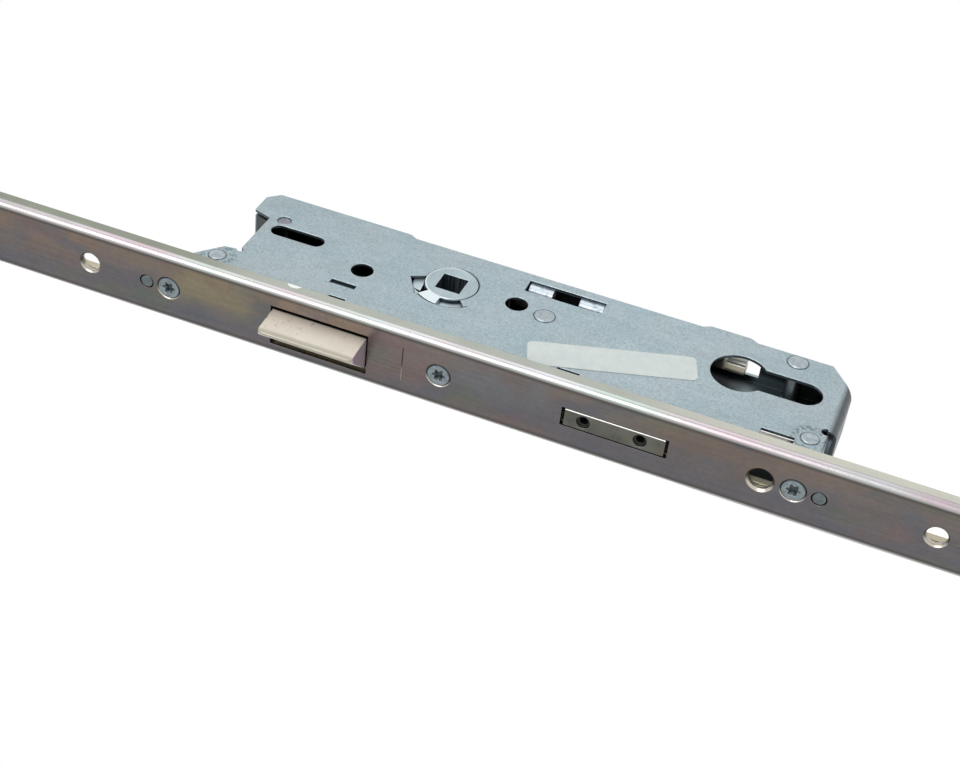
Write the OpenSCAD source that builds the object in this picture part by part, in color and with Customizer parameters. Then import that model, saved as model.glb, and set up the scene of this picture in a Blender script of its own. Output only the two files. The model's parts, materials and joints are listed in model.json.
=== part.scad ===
// Multipoint door lock: central lock case on a U-section faceplate rail.
// Frame: origin on the spindle axis at mid thickness, +X into the door, +Y through the case, +Z up the rail.

/* [Case] */
// Thickness over both case plates
case_t = 15.2; // [14.8:0.2:18]
// Sheet thickness of the case plates
plate_t = 1.2; // [1:0.1:1.4]
// Spindle axis to the outer face of the back wall
case_back = 17.4; // [17.2:0.2:22]
// Spindle axis to the upper edge of the case body
case_top = 64.6; // [64.4:0.2:68]
// Rise of the rear ear above the case body
ear_rise = 6.2; // [4:0.2:9]
// Front edge of the rear ear, from the spindle axis
ear_x = 5; // [4:0.2:7]
// Lean of the ear's front edge
ear_lean = 2; // [0:0.2:3]
// Chamfer on the ear's rear corner
ear_chamfer = 3.6; // [2:0.2:5]
// Spindle axis down to the outer face of the bottom end wall
case_bottom = 125; // [124.6:0.2:130]
// Outer radius of the bend between cover and bottom end wall
bend_r = 3; // [2:0.2:4]
// Depth of the bottom rear corner's cut, along X
corner_x = 10.4; // [8:0.2:12]
// Height of the bottom rear corner's cut, along Z
corner_z = 8.2; // [6:0.2:10]
// Rear edge of the front fixing tabs, from the spindle axis
tab_x = -15.4; // [-16.4:0.2:-14.4]
// Height of the upper fixing tab at the rail
tab_top = 76; // [75:0.2:77.6]
// Height of the upper fixing tab at its rear corner
tab_corner = 69.5; // [68:0.5:72]
// Width of the upper tab's sloping edge
tab_slope = 8.6; // [7:0.2:10]
// Spindle axis down to the lower edge of the lower tab
tab_bottom = 122.6; // [122.2:0.1:123]
// Radius of the relief cuts beside the tabs
relief_r = 1.5; // [1:0.1:2]
// Overhang of the cover's two lips past the back wall
cover_lip = 1.2; // [0.6:0.2:2]
// Setback of the cover's plain rear edge from the back wall
cover_set = 0.2; // [0:0.1:0.6]

/* [Cover openings] */
// Lower end of the cover's upper lip
lip_low = 21.5; // [16:0.5:26]
// Upper and lower ends of the cover's small lip
lip_small = [-78.3, -90.9]; // [-100:0.1:-60]
// Run of the small steps at the ends of the lips
lip_step = 2.4; // [1.5:0.1:3]
// Centre of the upper inspection hole, X and Z
peep_at = [-7, 27]; // [-20:0.1:30]
// Diameter of the inspection hole and of the handle bolt hole
bolt_hole_d = 7; // [5:0.1:8]
// Distance of the handle bolt hole below the spindle
bolt_hole_drop = 21.4; // [20.4:0.1:22.4]
// Centre height of the long slot
slot_z = 52.4; // [52:0.1:53]
// Overall length of the long slot
slot_len = 18; // [12:0.5:18.4]
// Width of the long slot
slot_w = 5.6; // [4.6:0.1:6]
// Window beside the back wall: lower X and upper X
window_x = [7.9, 13.8]; // [6:0.1:15]
// Window beside the back wall: lower Z and upper Z
window_z = [-46, -21]; // [-60:0.1:-15]
// Gap between the two rolled tabs behind the window
tab_gap = 8.7; // [6:0.1:12]
// Radius of the rolled tabs behind the window
tab_roll_r = 2.4; // [1.8:0.1:2.4]
// Slot by the rail near the bottom: lower Z and upper Z
rail_slot_z = [-114, -104.2]; // [-118:0.1:-98]
// Width of the slot by the rail
rail_slot_w = 4.4; // [3:0.1:5]
// Rear edge of the slot by the rail, in front of the tabs' rear edge
rail_slot_in = 6; // [5:0.2:7]
// Lanced slot over the latch: lower Z and upper Z
lance_z = [25, 33.2]; // [20:0.1:40]
// Width of the lanced slot
lance_w = 2.4; // [1.6:0.1:3]
// Rear edge of the narrow slit, in front of the tabs' rear edge
slit_in = 8; // [7:0.2:9]
// Width of the narrow slit
slit_w = 1; // [0.6:0.1:1.4]
// Short slit beside the label: lower Z and upper Z
slit_low_z = [-49.9, -43]; // [-56:0.1:-40]

/* [Faceplate rail] */
// Spindle axis to the faceplate's front
backset = 35; // [35:0.5:45]
// Width of the U-rail
rail_w = 24; // [23:0.5:26]
// Depth of the U-rail
rail_d = 5.2; // [5:0.1:6]
// Wall of the U-rail
rail_wall = 2; // [1.8:0.1:2.2]
// Outer corner radius of the U-rail
rail_r = 2.1; // [1:0.1:2.5]
// Upper end of the rail above the spindle
rail_top = 156; // [156:1:190]
// Lower end of the rail below the spindle
rail_bottom = 196; // [196:1:230]
// Height of the upper fixing hole
fix_top = 106; // [100:0.5:110]
// Drop of the lower fixing hole
fix_bottom = 159; // [157:0.5:161]
// Diameter of the fixing holes
fix_d = 6.2; // [5.8:0.1:6.6]
// Height of the scribed mark across the faceplate
scribe_z = 1; // [-1:0.2:3]
// Width and depth of the scribed mark
scribe_w = 0.24; // [0.2:0.02:0.3]
// Diameter of the fixing holes' countersinks
fix_sink_d = 7.4; // [7:0.1:9]

/* [Case screws and rivets] */
// Height of the upper case screw
screw_top = 78.7; // [78:0.1:80]
// Drop of the middle case screw
screw_mid = 10.6; // [10:0.1:11]
// Drop of the lower case screw
screw_low = 118.3; // [118:0.1:119]
// Distance from an end screw to its flush rivet
rivet_step = 7.5; // [7:0.1:8]
// Head diameter of the case screws
screw_head_d = 8; // [7.4:0.1:8.2]
// Thread diameter of the case screws
screw_d = 4; // [3.6:0.1:4.4]
// Length of the case screws
screw_len = 11; // [9:0.5:12]
// Diameter of the flush rivets
rivet_d = 4.6; // [4:0.1:4.8]
// Diameter of the spacing bosses on the fixing blocks
boss_d = 6.8; // [6.6:0.1:7.2]

/* [Drive rod] */
// Thickness of the drive rod
rod_t = 2.4; // [2:0.1:2.8]
// Gap between the drive rod and the rail's flanges
rod_side = 1; // [0.6:0.1:1.4]
// Upper end of the rod above the spindle
rod_top = 133; // [130:1:135]
// Lower end of the rod below the spindle
rod_bottom = 193; // [190:1:195]
// Stroke of the drive rod and throw of the deadbolt
stroke = 20; // [16:0.5:20]
// Width of the rod's slots behind the screw holes
screw_slot_w = 5.8; // [5.4:0.1:6]
// Overrun of the rod's slots above the screw holes
slot_over = 3; // [0:0.2:3]
// Diameter of the coupling holes at the rod's ends
coupling_d = 5; // [4:0.1:6]
// Distance of the coupling holes from the rod's ends
coupling_in = 4; // [3.6:0.1:5]

/* [Latch] */
// Centre height of the latch bolt
latch_z = 28; // [27.6:0.1:28.4]
// Height of the latch bolt
latch_h = 30.8; // [29:0.1:31.2]
// Width of the latch bolt across the case
latch_w = 11.2; // [10:0.1:11.4]
// Sideways offset of the latch bolt
latch_y = 0.4; // [0:0.1:0.5]
// Gap round the latch bolt in the faceplate
latch_gap = 0.7; // [0.4:0.1:0.8]
// Projection of the latch bolt, and its travel
latch_throw = 11.2; // [9:0.1:11.4]
// Width of the flat along the latch's nose
latch_nose = 1; // [0.6:0.1:2]
// Taper of the latch's strike side over its projection
latch_taper = 0.9; // [0:0.1:1.5]
// Radius of the latch's nose corners
latch_corner_r = 2; // [1:0.1:3]
// Length of the latch block behind the case front
latch_block = 10; // [8:0.5:11]
// Thickness of the latch tail
tail_t = 3; // [2.4:0.1:3]
// Upper edge of the latch tail
tail_high = 27.4; // [26.8:0.1:27.6]
// Lower edge of the latch tail
tail_low = 20.4; // [20.2:0.1:20.8]
// Height of the latch spring's axis
spring_z = 16.6; // [16.4:0.1:16.8]
// Outer diameter of the latch spring
spring_d = 6.4; // [5.6:0.1:6.6]
// Wire diameter of the latch spring
spring_wire = 0.9; // [0.6:0.1:1]
// Turns of the latch spring
spring_turns = 8; // [6:1:9]
// Front face of the spring stop, from the spindle axis
stop_x = 4; // [3.6:0.1:5]

/* [Spindle hub] */
// Spindle square across flats
spindle_sq = 8; // [7:0.5:9]
// Radius of the hub's journals
hub_r = 8.25; // [8:0.05:9]
// Radius of the hub's flange behind the cover
hub_flange_r = 12.2; // [11.6:0.1:12.4]
// Full turn of the hub
hub_turn = 40; // [36:1:44]
// Radius of the hub's arm tips
arm_tip_r = 2.2; // [1.8:0.1:2.4]
// Reach of the arms that work on the change bar
pull_arm = 12.4; // [12.2:0.1:12.6]
// Angles between which the hub's lobe lies in the cover's cut-out
lobe = [142, 177]; // [100:1:200]
// Angle left free at each end of the lobe's travel
lobe_gap = 2; // [1:0.5:4]
// Height of the latch lever's pivot
lever_z = 41; // [40.8:0.1:41.2]
// Radius of the latch lever's pivot pin
pivot_r = 1.8; // [1.4:0.1:2]
// Angles between which the lever's balancing lobe lies
balance = [125, 180]; // [110:1:190]
// Radius of the lever's balancing lobe
balance_r = 7.8; // [7:0.1:8]

/* [Deadbolt] */
// Drop of the deadbolt's centre
bolt_drop = 65.2; // [65.2:0.1:65.8]
// Height of the deadbolt
bolt_h = 30.6; // [29:0.1:31]
// Width of the deadbolt across the case
bolt_w = 6; // [5:0.1:6]
// Gap above and below the deadbolt in the faceplate
bolt_gap = 0.9; // [0.4:0.1:1]
// Height of the deadbolt's tail
bolt_tail_h = 10; // [9:0.1:10.4]
// Radius of the deadbolt's drive pin
drive_pin_r = 2.2; // [1.8:0.1:2.3]
// Position of the drive pin, from the spindle axis
drive_pin_x = 2.5; // [2.2:0.1:2.8]
// Wall round the slanted slot
slot_wall = 1.7; // [1.4:0.1:1.8]
// Spacing of the hardened pins in the deadbolt
hard_pin_gap = 17.2; // [14:0.1:20]
// Rise of the hardened pins above the middle of the deadbolt
hard_pin_rise = 0.8; // [0:0.1:1.2]
// Diameter of the hardened pins
hard_pin_d = 2.4; // [1.8:0.1:2.8]
// Diameter of the sinks over the hardened pins
hard_sink_d = 4.1; // [3.4:0.1:4.4]

/* [Cylinder and gear] */
// Spindle axis to cylinder axis
cylinder_drop = 92; // [91.6:0.1:92.4]
// Radius of the round part of the cylinder cut-out
cylinder_r = 8.75; // [8.6:0.05:8.9]
// Width of the cut-out's slot
cylinder_slot_w = 10.6; // [10.4:0.1:11]
// Cylinder axis to the end of the slot
cylinder_leg = 25.3; // [24.5:0.1:25.6]
// Cylinder axis to its fixing screw
cylinder_screw = 16.7; // [16.4:0.1:16.8]
// Diameter of the cylinder screw's hole in the faceplate
cylinder_hole_d = 7; // [6.6:0.1:7.4]
// Countersink diameter of the cylinder screw hole
cylinder_sink_d = 8.6; // [8:0.1:9.6]
// Gear axis from the spindle axis, along X
gear_x = -3; // [-3.2:0.1:-2.8]
// Rise of the gear axis above the cylinder axis
gear_rise = 19.4; // [19.2:0.1:19.8]
// Gear module
gear_module = 1.5; // [1.4:0.05:1.5]
// Number of teeth on the gear
gear_teeth = 12; // [12:1:12]
// Pressure angle of the teeth
gear_angle = 25; // [20:1:25]
// Radius of the gear's fixed arbor
arbor_r = 2.9; // [2.4:0.1:2.9]
// Thickness of the slide's flanges and of the gear's teeth
slide_t = 1.8; // [1.6:0.1:2]

/* [Change bar] */
// Width of the change bar
bar_w = 4.4; // [4.2:0.1:4.6]
// Thickness of the change bar
bar_t = 3; // [2.4:0.1:3]
// Drop of the change bar's foot to its lower end
bar_foot = 92; // [90:0.5:93]
// Height of the change bar's foot
foot_h = 6; // [4:0.5:7]
// Width of the change bar's foot through the case
foot_w = 4.4; // [4:0.1:8]
// Radius of the bar's guide pins
guide_pin_r = 1.6; // [1.2:0.1:1.7]

/* [Posts and label] */
// Upper spacing post, X and Z
post_top = [5.6, 59.8]; // [-40:0.1:70]
// Middle spacing post, X and Z
post_mid = [-1.9, -31.1]; // [-40:0.1:40]
// Lower spacing post, X and Z
post_low = [13.6, -106.6]; // [-120:0.1:40]
// Rivet through the upper tab, X and Z
tab_rivet_top = [-21.6, 69.2]; // [-40:0.1:80]
// Rivet through the lower tab, X and Z
tab_rivet_low = [-19.8, -118]; // [-130:0.1:40]
// Drops of the change bar's two guide pins
guide_pin_drop = [16, 69]; // [10:1:80]
// Radius of the spacing posts
post_r = 2.2; // [1.8:0.1:2.3]
// Radius of the posts' riveted heads
post_head_r = 3.1; // [2.6:0.1:3.2]
// Radius of the riveted heads on the tabs
tab_head_r = 2.6; // [2.5:0.1:3.2]
// Height of the riveted heads above the plates
post_head_h = 0.3; // [0.2:0.05:0.5]
// Length of the blank label
label_len = 50.4; // [40:0.2:52]
// Width of the blank label
label_w = 11.2; // [8:0.2:12]
// Thickness of the blank label
label_t = 0.2; // [0.1:0.05:0.3]
// Turn of the label against the rail
label_turn = 19.4; // [15:0.2:22]
// Centre of the label, X and Z
label_at = [-12.9, -56.4]; // [-60:0.1:0]

/* [Clearances] */
// Gap between parts that slide past each other
run_gap = 0.3; // [0.2:0.05:0.4]
// Radial gap of pins, journals and inserted pieces
fit_gap = 0.06; // [0.03:0.01:0.1]
// Gap between the drive rod and its neighbours
rod_gap = 0.2; // [0.15:0.05:0.3]
// Thinning of each gear flank for backlash
backlash = 0.14; // [0.1:0.02:0.2]

/* [Hidden] */
$fn = 48;
// Overlap that makes a cut run clean through
cut = 1;

// Levels through the case
face_y = case_t / 2;
in_y = face_y - plate_t;

// Rod width that fits between the rail's flanges
rod_w = rail_w - 2 * rail_wall - 2 * rod_side;

// Levels from the faceplate inwards
web_front = -backset;
web_back = web_front + rail_wall;
rod_front = web_back + rod_gap;
rod_back = rod_front + rod_t;
case_front = rod_back + rod_gap * 2;

// Heights worked out from the driving sizes
ear_top = case_top + ear_rise;
cyl_z = -cylinder_drop;
bolt_z = -bolt_drop;
foot_z = -bar_foot;
case_low = -case_bottom;
end_wall_in = case_low + plate_t;
lip_x = case_back + cover_lip;
edge_x = case_back - cover_set;
wall_in_x = case_back - plate_t;
rivet_top = screw_top + rivet_step;
rivet_low = -screw_low - rivet_step;
screw_heights = [screw_top, -screw_mid, -screw_low];
rivet_heights = [rivet_top, rivet_low];
latch_low = latch_z - latch_h / 2;
latch_high = latch_z + latch_h / 2;
latch_back = case_front + latch_block;
cylinder_screw_z = cyl_z - cylinder_screw;

// Collar that holds the lever at mid thickness
collar = pivot_r * 1.5;

// Hub and lever arms: a full turn carries each tip through its slide's travel
arm_reach = latch_throw / (2 * sin(hub_turn / 2));
arm_tip_x = -latch_throw / 2;
arm_low_z = lever_z - arm_reach - arm_tip_r;
bar_travel = 2 * pull_arm * sin(hub_turn / 2);
pull_tip_z = -bar_travel / 2;
bar_back = wall_in_x - run_gap;
bar_front = bar_back - bar_w;

// Gear train
gear_z = cyl_z + gear_rise;
pitch_r = gear_module * gear_teeth / 2;
base_r = pitch_r * cos(gear_angle);
gear_tip_r = pitch_r + gear_module;
gear_root_r = pitch_r - gear_module * 1.25;
rack_x = gear_x - pitch_r;
rack_tip = 0.7 * gear_module;
rack_pitch = PI * gear_module;
cam_r = gear_tip_r - 0.2 * gear_module;
slide_in = bolt_w / 2 + run_gap;
slide_out = slide_in + slide_t;
wheel_half = slide_in - run_gap;

// Slide and deadbolt
slide_front = case_front + run_gap * 2;
slide_top = -screw_mid - boss_d / 2 - 2 * run_gap - stroke;
slot_half = drive_pin_r + fit_gap * 2;
slot_round = slot_half + slot_wall;
bolt_back = gear_x - cam_r - 2 * run_gap;
bolt_top = bolt_z + bolt_h / 2;
bolt_bottom = bolt_z - bolt_h / 2;
drive_pin_z = gear_z + cam_r + 2 * run_gap + bolt_tail_h / 2;
slant_end = [drive_pin_x - stroke, drive_pin_z - stroke];
strip_back = slant_end[0];
rack_low = gear_z - stroke - rack_pitch;
rack_high = gear_z + rack_pitch;
lug_high = -screw_mid - boss_d / 2 - 2 * run_gap - stroke - rod_t;
lug_low = bolt_top + 2 * rod_t;

// Rod slots
screw_slot_r = screw_slot_w / 2;
boss_slot_r = boss_d / 2 + run_gap;

// Posts between the plates, X and Z, and the rivets through the fixing blocks
post_places = [post_mid, post_low, post_top];
tab_rivets = [tab_rivet_top, tab_rivet_low];
pin_places = [for (d = guide_pin_drop) [bar_front - run_gap - guide_pin_r, -d]];

// Box between two corners
module block(low, high) {
  translate(low) cube(high - low);
}

// Prism of an X-Z outline between two Y levels
module slab(y0, y1) {
  translate([0, y1, 0]) rotate([90, 0, 0]) linear_extrude(y1 - y0) children();
}

// Prism of a Y-Z outline between two X levels
module sheet(x0, x1) {
  translate([x0, 0, 0]) rotate([90, 0, 90]) linear_extrude(x1 - x0) children();
}

// Round bar along X
module bar_x(x0, x1, r, z, y = 0) {
  translate([x0, y, z]) rotate([0, 90, 0]) cylinder(r = r, h = x1 - x0);
}

// Round bar along Y at an X-Z place
module bar_y(y0, y1, r, at) {
  translate([at[0], y1, at[1]]) rotate([90, 0, 0]) cylinder(r = r, h = y1 - y0);
}

// Cone along X that widens towards the faceplate's front
module sink_x(x0, x1, r0, r1, z) {
  translate([x0, 0, z]) rotate([0, 90, 0]) cylinder(r1 = r0, r2 = r1, h = x1 - x0);
}

// Slot with round ends along the second axis of an outline
module stadium(x, low, high, r) {
  translate([x, low]) circle(r);
  translate([x, high]) circle(r);
  translate([x - r, low]) square([2 * r, high - low]);
}

// Rectangle between two corners of an outline
module box2(low, high) {
  translate(low) square(high - low);
}

// Outline of the rear shell, drawn in by e at its walled edges
function shell_outline(e) = [
  [case_front, tab_top],
  [tab_x - tab_slope, tab_top],
  [tab_x - relief_r / 2, tab_corner],
  [tab_x, case_top - e],
  [ear_x + e, case_top - e],
  [ear_x + ear_lean + e, ear_top - e],
  [case_back - e - ear_chamfer + e * tan(22.5), ear_top - e],
  [case_back - e, ear_top - e - ear_chamfer + e * tan(22.5)],
  [case_back - e, case_low + corner_z + e / 2],
  [case_back - corner_x - e / 2, case_low + e],
  [tab_x + relief_r, case_low + e],
  [tab_x + relief_r, -tab_bottom],
  [case_front, -tab_bottom]
];

// Outline of the cover with its two lips along the back edge
cover_outline = [
  [case_front, tab_top],
  [tab_x - tab_slope, tab_top],
  [tab_x - relief_r / 2, tab_corner],
  [tab_x, case_top],
  [ear_x, case_top],
  [ear_x + ear_lean, ear_top],
  [lip_x - ear_chamfer, ear_top],
  [lip_x, ear_top - ear_chamfer],
  [lip_x, lip_low],
  [edge_x, lip_low - lip_step],
  [edge_x, lip_small[0] + lip_step],
  [lip_x, lip_small[0]],
  [lip_x, lip_small[1]],
  [edge_x, lip_small[1] - lip_step],
  [edge_x, case_low + corner_z],
  [case_back - corner_x, case_low],
  [tab_x + relief_r, case_low],
  [tab_x + relief_r, -tab_bottom],
  [case_front, -tab_bottom]
];

// Openings that both plates share
module shared_openings() {
  circle(hub_r + run_gap * 2 / 3);
  translate([0, -bolt_hole_drop]) circle(d = bolt_hole_d);
  stadium(0, slot_z - slot_len / 2 + slot_w / 2, slot_z + slot_len / 2 - slot_w / 2, slot_w / 2);
  translate([0, cyl_z]) circle(cylinder_r);
  stadium(0, cyl_z - cylinder_leg + cylinder_slot_w / 2, cyl_z, cylinder_slot_w / 2);
  for (p = concat(post_places, tab_rivets)) translate(p) circle(post_r + fit_gap);
  translate([tab_x, case_top]) circle(relief_r * 2 / 3);
}

// Openings of the cover alone
module cover_openings() {
  translate(peep_at) circle(d = bolt_hole_d);
  box2([window_x[0], window_z[0]], [window_x[1], window_z[1]]);
  rail_slot_x = tab_x - rail_slot_in;
  box2([rail_slot_x - rail_slot_w, rail_slot_z[0]], [rail_slot_x, rail_slot_z[1]]);
  box2([tab_x - lance_w, lance_z[0]], [tab_x, lance_z[1]]);
  slit_x = tab_x - slit_in;
  box2([slit_x - slit_w, lance_z[0]], [slit_x, (lance_z[0] + lance_z[1] * 2) / 3]);
  box2([slit_x - slit_w, slit_low_z[0]], [slit_x, slit_low_z[1]]);
  translate([tab_x + relief_r * 0.6, -tab_bottom + relief_r * 0.6]) circle(relief_r);
  hub_notches();
}

// Wedge between two angles that reaches well past the hub
module wedge(from, to) {
  polygon(concat([[0, 0]], [for (i = [0 : 3]) let (a = from + (to - from) * i / 3)
    2 * hub_flange_r * [cos(a), sin(a)]]));
}

// Cut-out beside the hub: a square notch, then the arc in which the hub's lobe turns
module hub_notches() {
  rotate(lobe[0] - 22) translate([0, -2 * arm_tip_r]) square([hub_flange_r, 4 * arm_tip_r]);
  intersection() {
    circle(hub_flange_r);
    wedge(lobe[0] - lobe_gap, lobe[1] + hub_turn + lobe_gap);
  }
}

module rear_case_shell() {
  color("LightSteelBlue") {
    difference() {
      union() {
        slab(in_y, face_y) difference() {
          polygon(shell_outline(0));
          shared_openings();
          box2([tab_x + relief_r - cut, case_low - cut], [case_back + cut, end_wall_in + fit_gap]);
        }
        slab(-in_y, face_y) difference() {
          polygon(shell_outline(0));
          polygon(shell_outline(plate_t));
          box2([case_front - cut, case_low - cut], [tab_x + plate_t / 6, tab_top + cut]);
          box2([tab_x, case_low - cut], [case_back + cut, case_low + bend_r + fit_gap]);
        }
      }
      block([wall_in_x - cut, -in_y * 2 / 3, lip_small[1] - foot_h * 5 / 6],
            [case_back + cut, in_y * 2 / 3, lip_small[0]]);
      block([ear_x - cut, -in_y - cut, case_top + plate_t / 3],
            [ear_x + ear_lean + 2 * plate_t, -in_y + plate_t * 0.8, ear_top + cut]);
    }
    rolled_tabs();
  }
}

// Two rolled tabs that close the cover's window from behind
module rolled_tabs() {
  tab_len = (window_z[1] - window_z[0] - tab_gap) / 2 - run_gap;
  roll_y = -bar_t / 2 - run_gap - tab_roll_r;
  roll_x = wall_in_x - tab_roll_r - run_gap * 2;
  for (z = [window_z[0] + run_gap, window_z[1] - run_gap - tab_len]) {
    difference() {
      union() {
        translate([roll_x, roll_y, z]) cylinder(r = tab_roll_r, h = tab_len);
        block([roll_x, roll_y - plate_t / 2, z], [wall_in_x + plate_t / 2, roll_y + plate_t / 2, z + tab_len]);
      }
      block([window_x[1] - run_gap, -face_y - cut, z - cut], [case_back + cut, -in_y, z + tab_len + cut]);
    }
  }
}

module cover_plate() {
  color("LightSteelBlue") difference() {
    intersection() {
      union() {
        slab(-face_y, -in_y) difference() {
          polygon(cover_outline);
          box2([tab_x + relief_r, case_low - cut], [lip_x + cut, case_low + bend_r]);
          shared_openings();
          cover_openings();
        }
        end_wall();
        lance_tongue();
      }
      slab(-face_y, face_y) polygon(cover_outline);
    }
  }
}

// Bend and end wall that close the case at its lower end
module end_wall() {
  x0 = tab_x + relief_r;
  x1 = case_back;
  bend_at = [0, -face_y + bend_r, case_low + bend_r];
  intersection() {
    difference() {
      translate(bend_at) bar_x(x0, x1, bend_r, 0);
      translate(bend_at) bar_x(x0 - cut, x1 + cut, bend_r - plate_t, 0);
    }
    block([x0, -face_y, case_low], [x1, -face_y + bend_r, case_low + bend_r]);
  }
  block([x0, -face_y + bend_r, case_low], [x1, face_y, end_wall_in]);
}

// Narrow flap pressed inwards along the front side of the lanced slot
module lance_tongue() {
  flap_x = tab_x - lance_w;
  block([flap_x - plate_t / 2, -in_y - plate_t / 2, lance_z[0] + plate_t / 2],
        [flap_x + plate_t / 3, -in_y + plate_t / 2, lance_z[1] - plate_t / 2]);
}

module faceplate_rail() {
  color("RosyBrown") difference() {
    translate([0, 0, -rail_bottom]) linear_extrude(rail_top + rail_bottom) difference() {
      union() {
        box2([web_front + rail_r, -rail_w / 2], [web_front + rail_d, rail_w / 2]);
        box2([web_front, -rail_w / 2 + rail_r], [web_front + rail_d, rail_w / 2 - rail_r]);
        for (s = [-1, 1]) translate([web_front + rail_r, s * (rail_w / 2 - rail_r)]) circle(rail_r);
      }
      box2([web_back, -rail_w / 2 + rail_wall], [web_front + rail_d + cut, rail_w / 2 - rail_wall]);
    }
    for (z = [fix_top, -fix_bottom]) countersunk(z, fix_d, fix_sink_d);
    countersunk(cylinder_screw_z, cylinder_hole_d, cylinder_sink_d);
    for (z = screw_heights) countersunk(z, screw_d + 2 * fit_gap, screw_head_d + 2 * fit_gap);
    for (z = rivet_heights) bar_x(web_front - cut, web_back + cut, rivet_d / 2 + fit_gap, z);
    block([web_front - cut, -rail_w / 4, scribe_z - scribe_w / 2],
          [web_front + scribe_w, rail_w / 4, scribe_z + scribe_w / 2]);
    block([web_front - cut, latch_y - latch_w / 2 - latch_gap, latch_low - run_gap],
          [web_back + cut, latch_y + latch_w / 2 + latch_gap * 3, latch_high + latch_gap]);
    block([web_front - cut, -bolt_w / 2 - run_gap, bolt_bottom - bolt_gap],
          [web_back + cut, bolt_w / 2 + run_gap, bolt_top + bolt_gap]);
  }
}

// Countersunk hole through the web
module countersunk(z, hole_d, sink_d) {
  depth = min((sink_d - hole_d) / 2, rail_wall);
  bar_x(web_front - cut, web_back + cut, hole_d / 2, z);
  sink_x(web_front, web_front + depth, sink_d / 2, sink_d / 2 - depth, z);
}

module case_screws() {
  head = (screw_head_d - screw_d) / 2;
  color("Silver") for (z = screw_heights) {
    difference() {
      union() {
        sink_x(web_front, web_front + head, screw_head_d / 2, screw_d / 2, z);
        bar_x(web_front + head, web_front + screw_len, screw_d / 2, z);
      }
      sheet(web_front - cut, web_front + head * 2 / 3) translate([0, z]) star_recess(screw_d * 0.46);
    }
  }
}

// Six-lobed drive recess
module star_recess(r) {
  polygon([for (i = [0 : 11]) let (q = i % 2 == 0 ? r : r * 0.7) [q * cos(i * 30), q * sin(i * 30)]]);
}

module flush_rivets() {
  color("Silver") for (z = rivet_heights) {
    bar_x(web_front, case_front + boss_d / 2, rivet_d / 2, z);
  }
}

// Fixing block: bosses through the rod slots that bear on the faceplate
module boss_row(heights) {
  for (z = heights) bar_x(web_back, case_front + run_gap, boss_d / 2, z);
}

// Bores for the screw and the rivet in a fixing block
module block_bores(screw_z, rivet_z) {
  bar_x(web_back - cut, web_front + screw_len + cut, screw_d / 2 + fit_gap, screw_z);
  if (abs(rivet_z) > 0) bar_x(web_back - cut, case_front + boss_d / 2, rivet_d / 2, rivet_z);
}

module upper_fixing_block() {
  color("DarkGray") difference() {
    union() {
      boss_row([screw_top, rivet_top]);
      block([case_front, -in_y, case_top], [tab_x - 2 * relief_r, in_y, tab_top]);
      block([case_front, -in_y, tab_top], [case_front + boss_d, in_y, rivet_top + boss_d]);
    }
    slab(-in_y - cut, in_y + cut) polygon([
      [tab_x - tab_slope, tab_top],
      [tab_x - relief_r / 2, tab_corner],
      [tab_x, tab_top + cut],
      [tab_x - tab_slope, tab_top + cut]
    ]);
    block_bores(screw_top, rivet_top);
    bar_y(-in_y - cut, in_y + cut, post_r + fit_gap, tab_rivets[0]);
  }
}

module middle_fixing_block() {
  half = boss_d / 2 + run_gap;
  color("DarkGray") difference() {
    union() {
      boss_row([-screw_mid]);
      block([case_front, -in_y, -screw_mid - half], [case_front + boss_d, in_y, -screw_mid + half]);
    }
    block_bores(-screw_mid, 0);
  }
}

module lower_fixing_block() {
  top = -screw_low + boss_d / 2 + run_gap * 3;
  color("DarkGray") difference() {
    union() {
      boss_row([-screw_low, rivet_low]);
      block([case_front, -in_y, -tab_bottom], [tab_x, in_y, top]);
      block([case_front, -in_y, rivet_low - boss_d], [case_front + boss_d, in_y, -tab_bottom]);
    }
    block_bores(-screw_low, rivet_low);
    bar_y(-in_y - cut, in_y + cut, post_r + fit_gap, tab_rivets[1]);
  }
}

module spacing_posts() {
  shoulder = post_r + plate_t / 3;
  color("Gainsboro") {
    for (p = [post_mid, post_low]) riveted(p, post_head_r);
    for (p = tab_rivets) riveted(p, tab_head_r);
    bar_y(-face_y + post_head_h, face_y, post_r, post_top);
    for (p = post_places) bar_y(in_y - plate_t, in_y, shoulder, p);
  }
}

// Pin through both plates with a low round head at each end
module riveted(at, head_r) {
  bar_y(-face_y - post_head_h, face_y + post_head_h, post_r, at);
  for (y = [-face_y - post_head_h, face_y]) bar_y(y, y + post_head_h, head_r, at);
}

module gear_arbor() {
  color("Silver") {
    bar_y(-in_y, in_y, arbor_r, [gear_x, gear_z]);
    bar_y(wheel_half + fit_gap, in_y, arbor_r + fit_gap * 6, [gear_x, gear_z]);
  }
}

module spring_stop() {
  high = tail_low - run_gap;
  low = spring_z - spring_d / 2 - spring_wire;
  color("Silver") {
    block([stop_x, -spring_d / 2, low], [stop_x + plate_t, in_y, high]);
    block([stop_x, in_y - plate_t, low], [stop_x + spring_d, in_y, high]);
  }
}

module bar_guide_pins() {
  color("Silver") for (p = pin_places) bar_y(-bar_t / 2 - plate_t, in_y, guide_pin_r, p);
}

// Sticker with round corners and nothing on it
module blank_label() {
  r = label_w / 6;
  color("WhiteSmoke") slab(-face_y - label_t, -face_y) translate(label_at) rotate(label_turn) {
    box2([-label_w / 2 + r, -label_len / 2], [label_w / 2 - r, label_len / 2]);
    box2([-label_w / 2, -label_len / 2 + r], [label_w / 2, label_len / 2 - r]);
    for (x = [-1, 1], z = [-1, 1]) translate([x * (label_w / 2 - r), z * (label_len / 2 - r)]) circle(r);
  }
}

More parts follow.
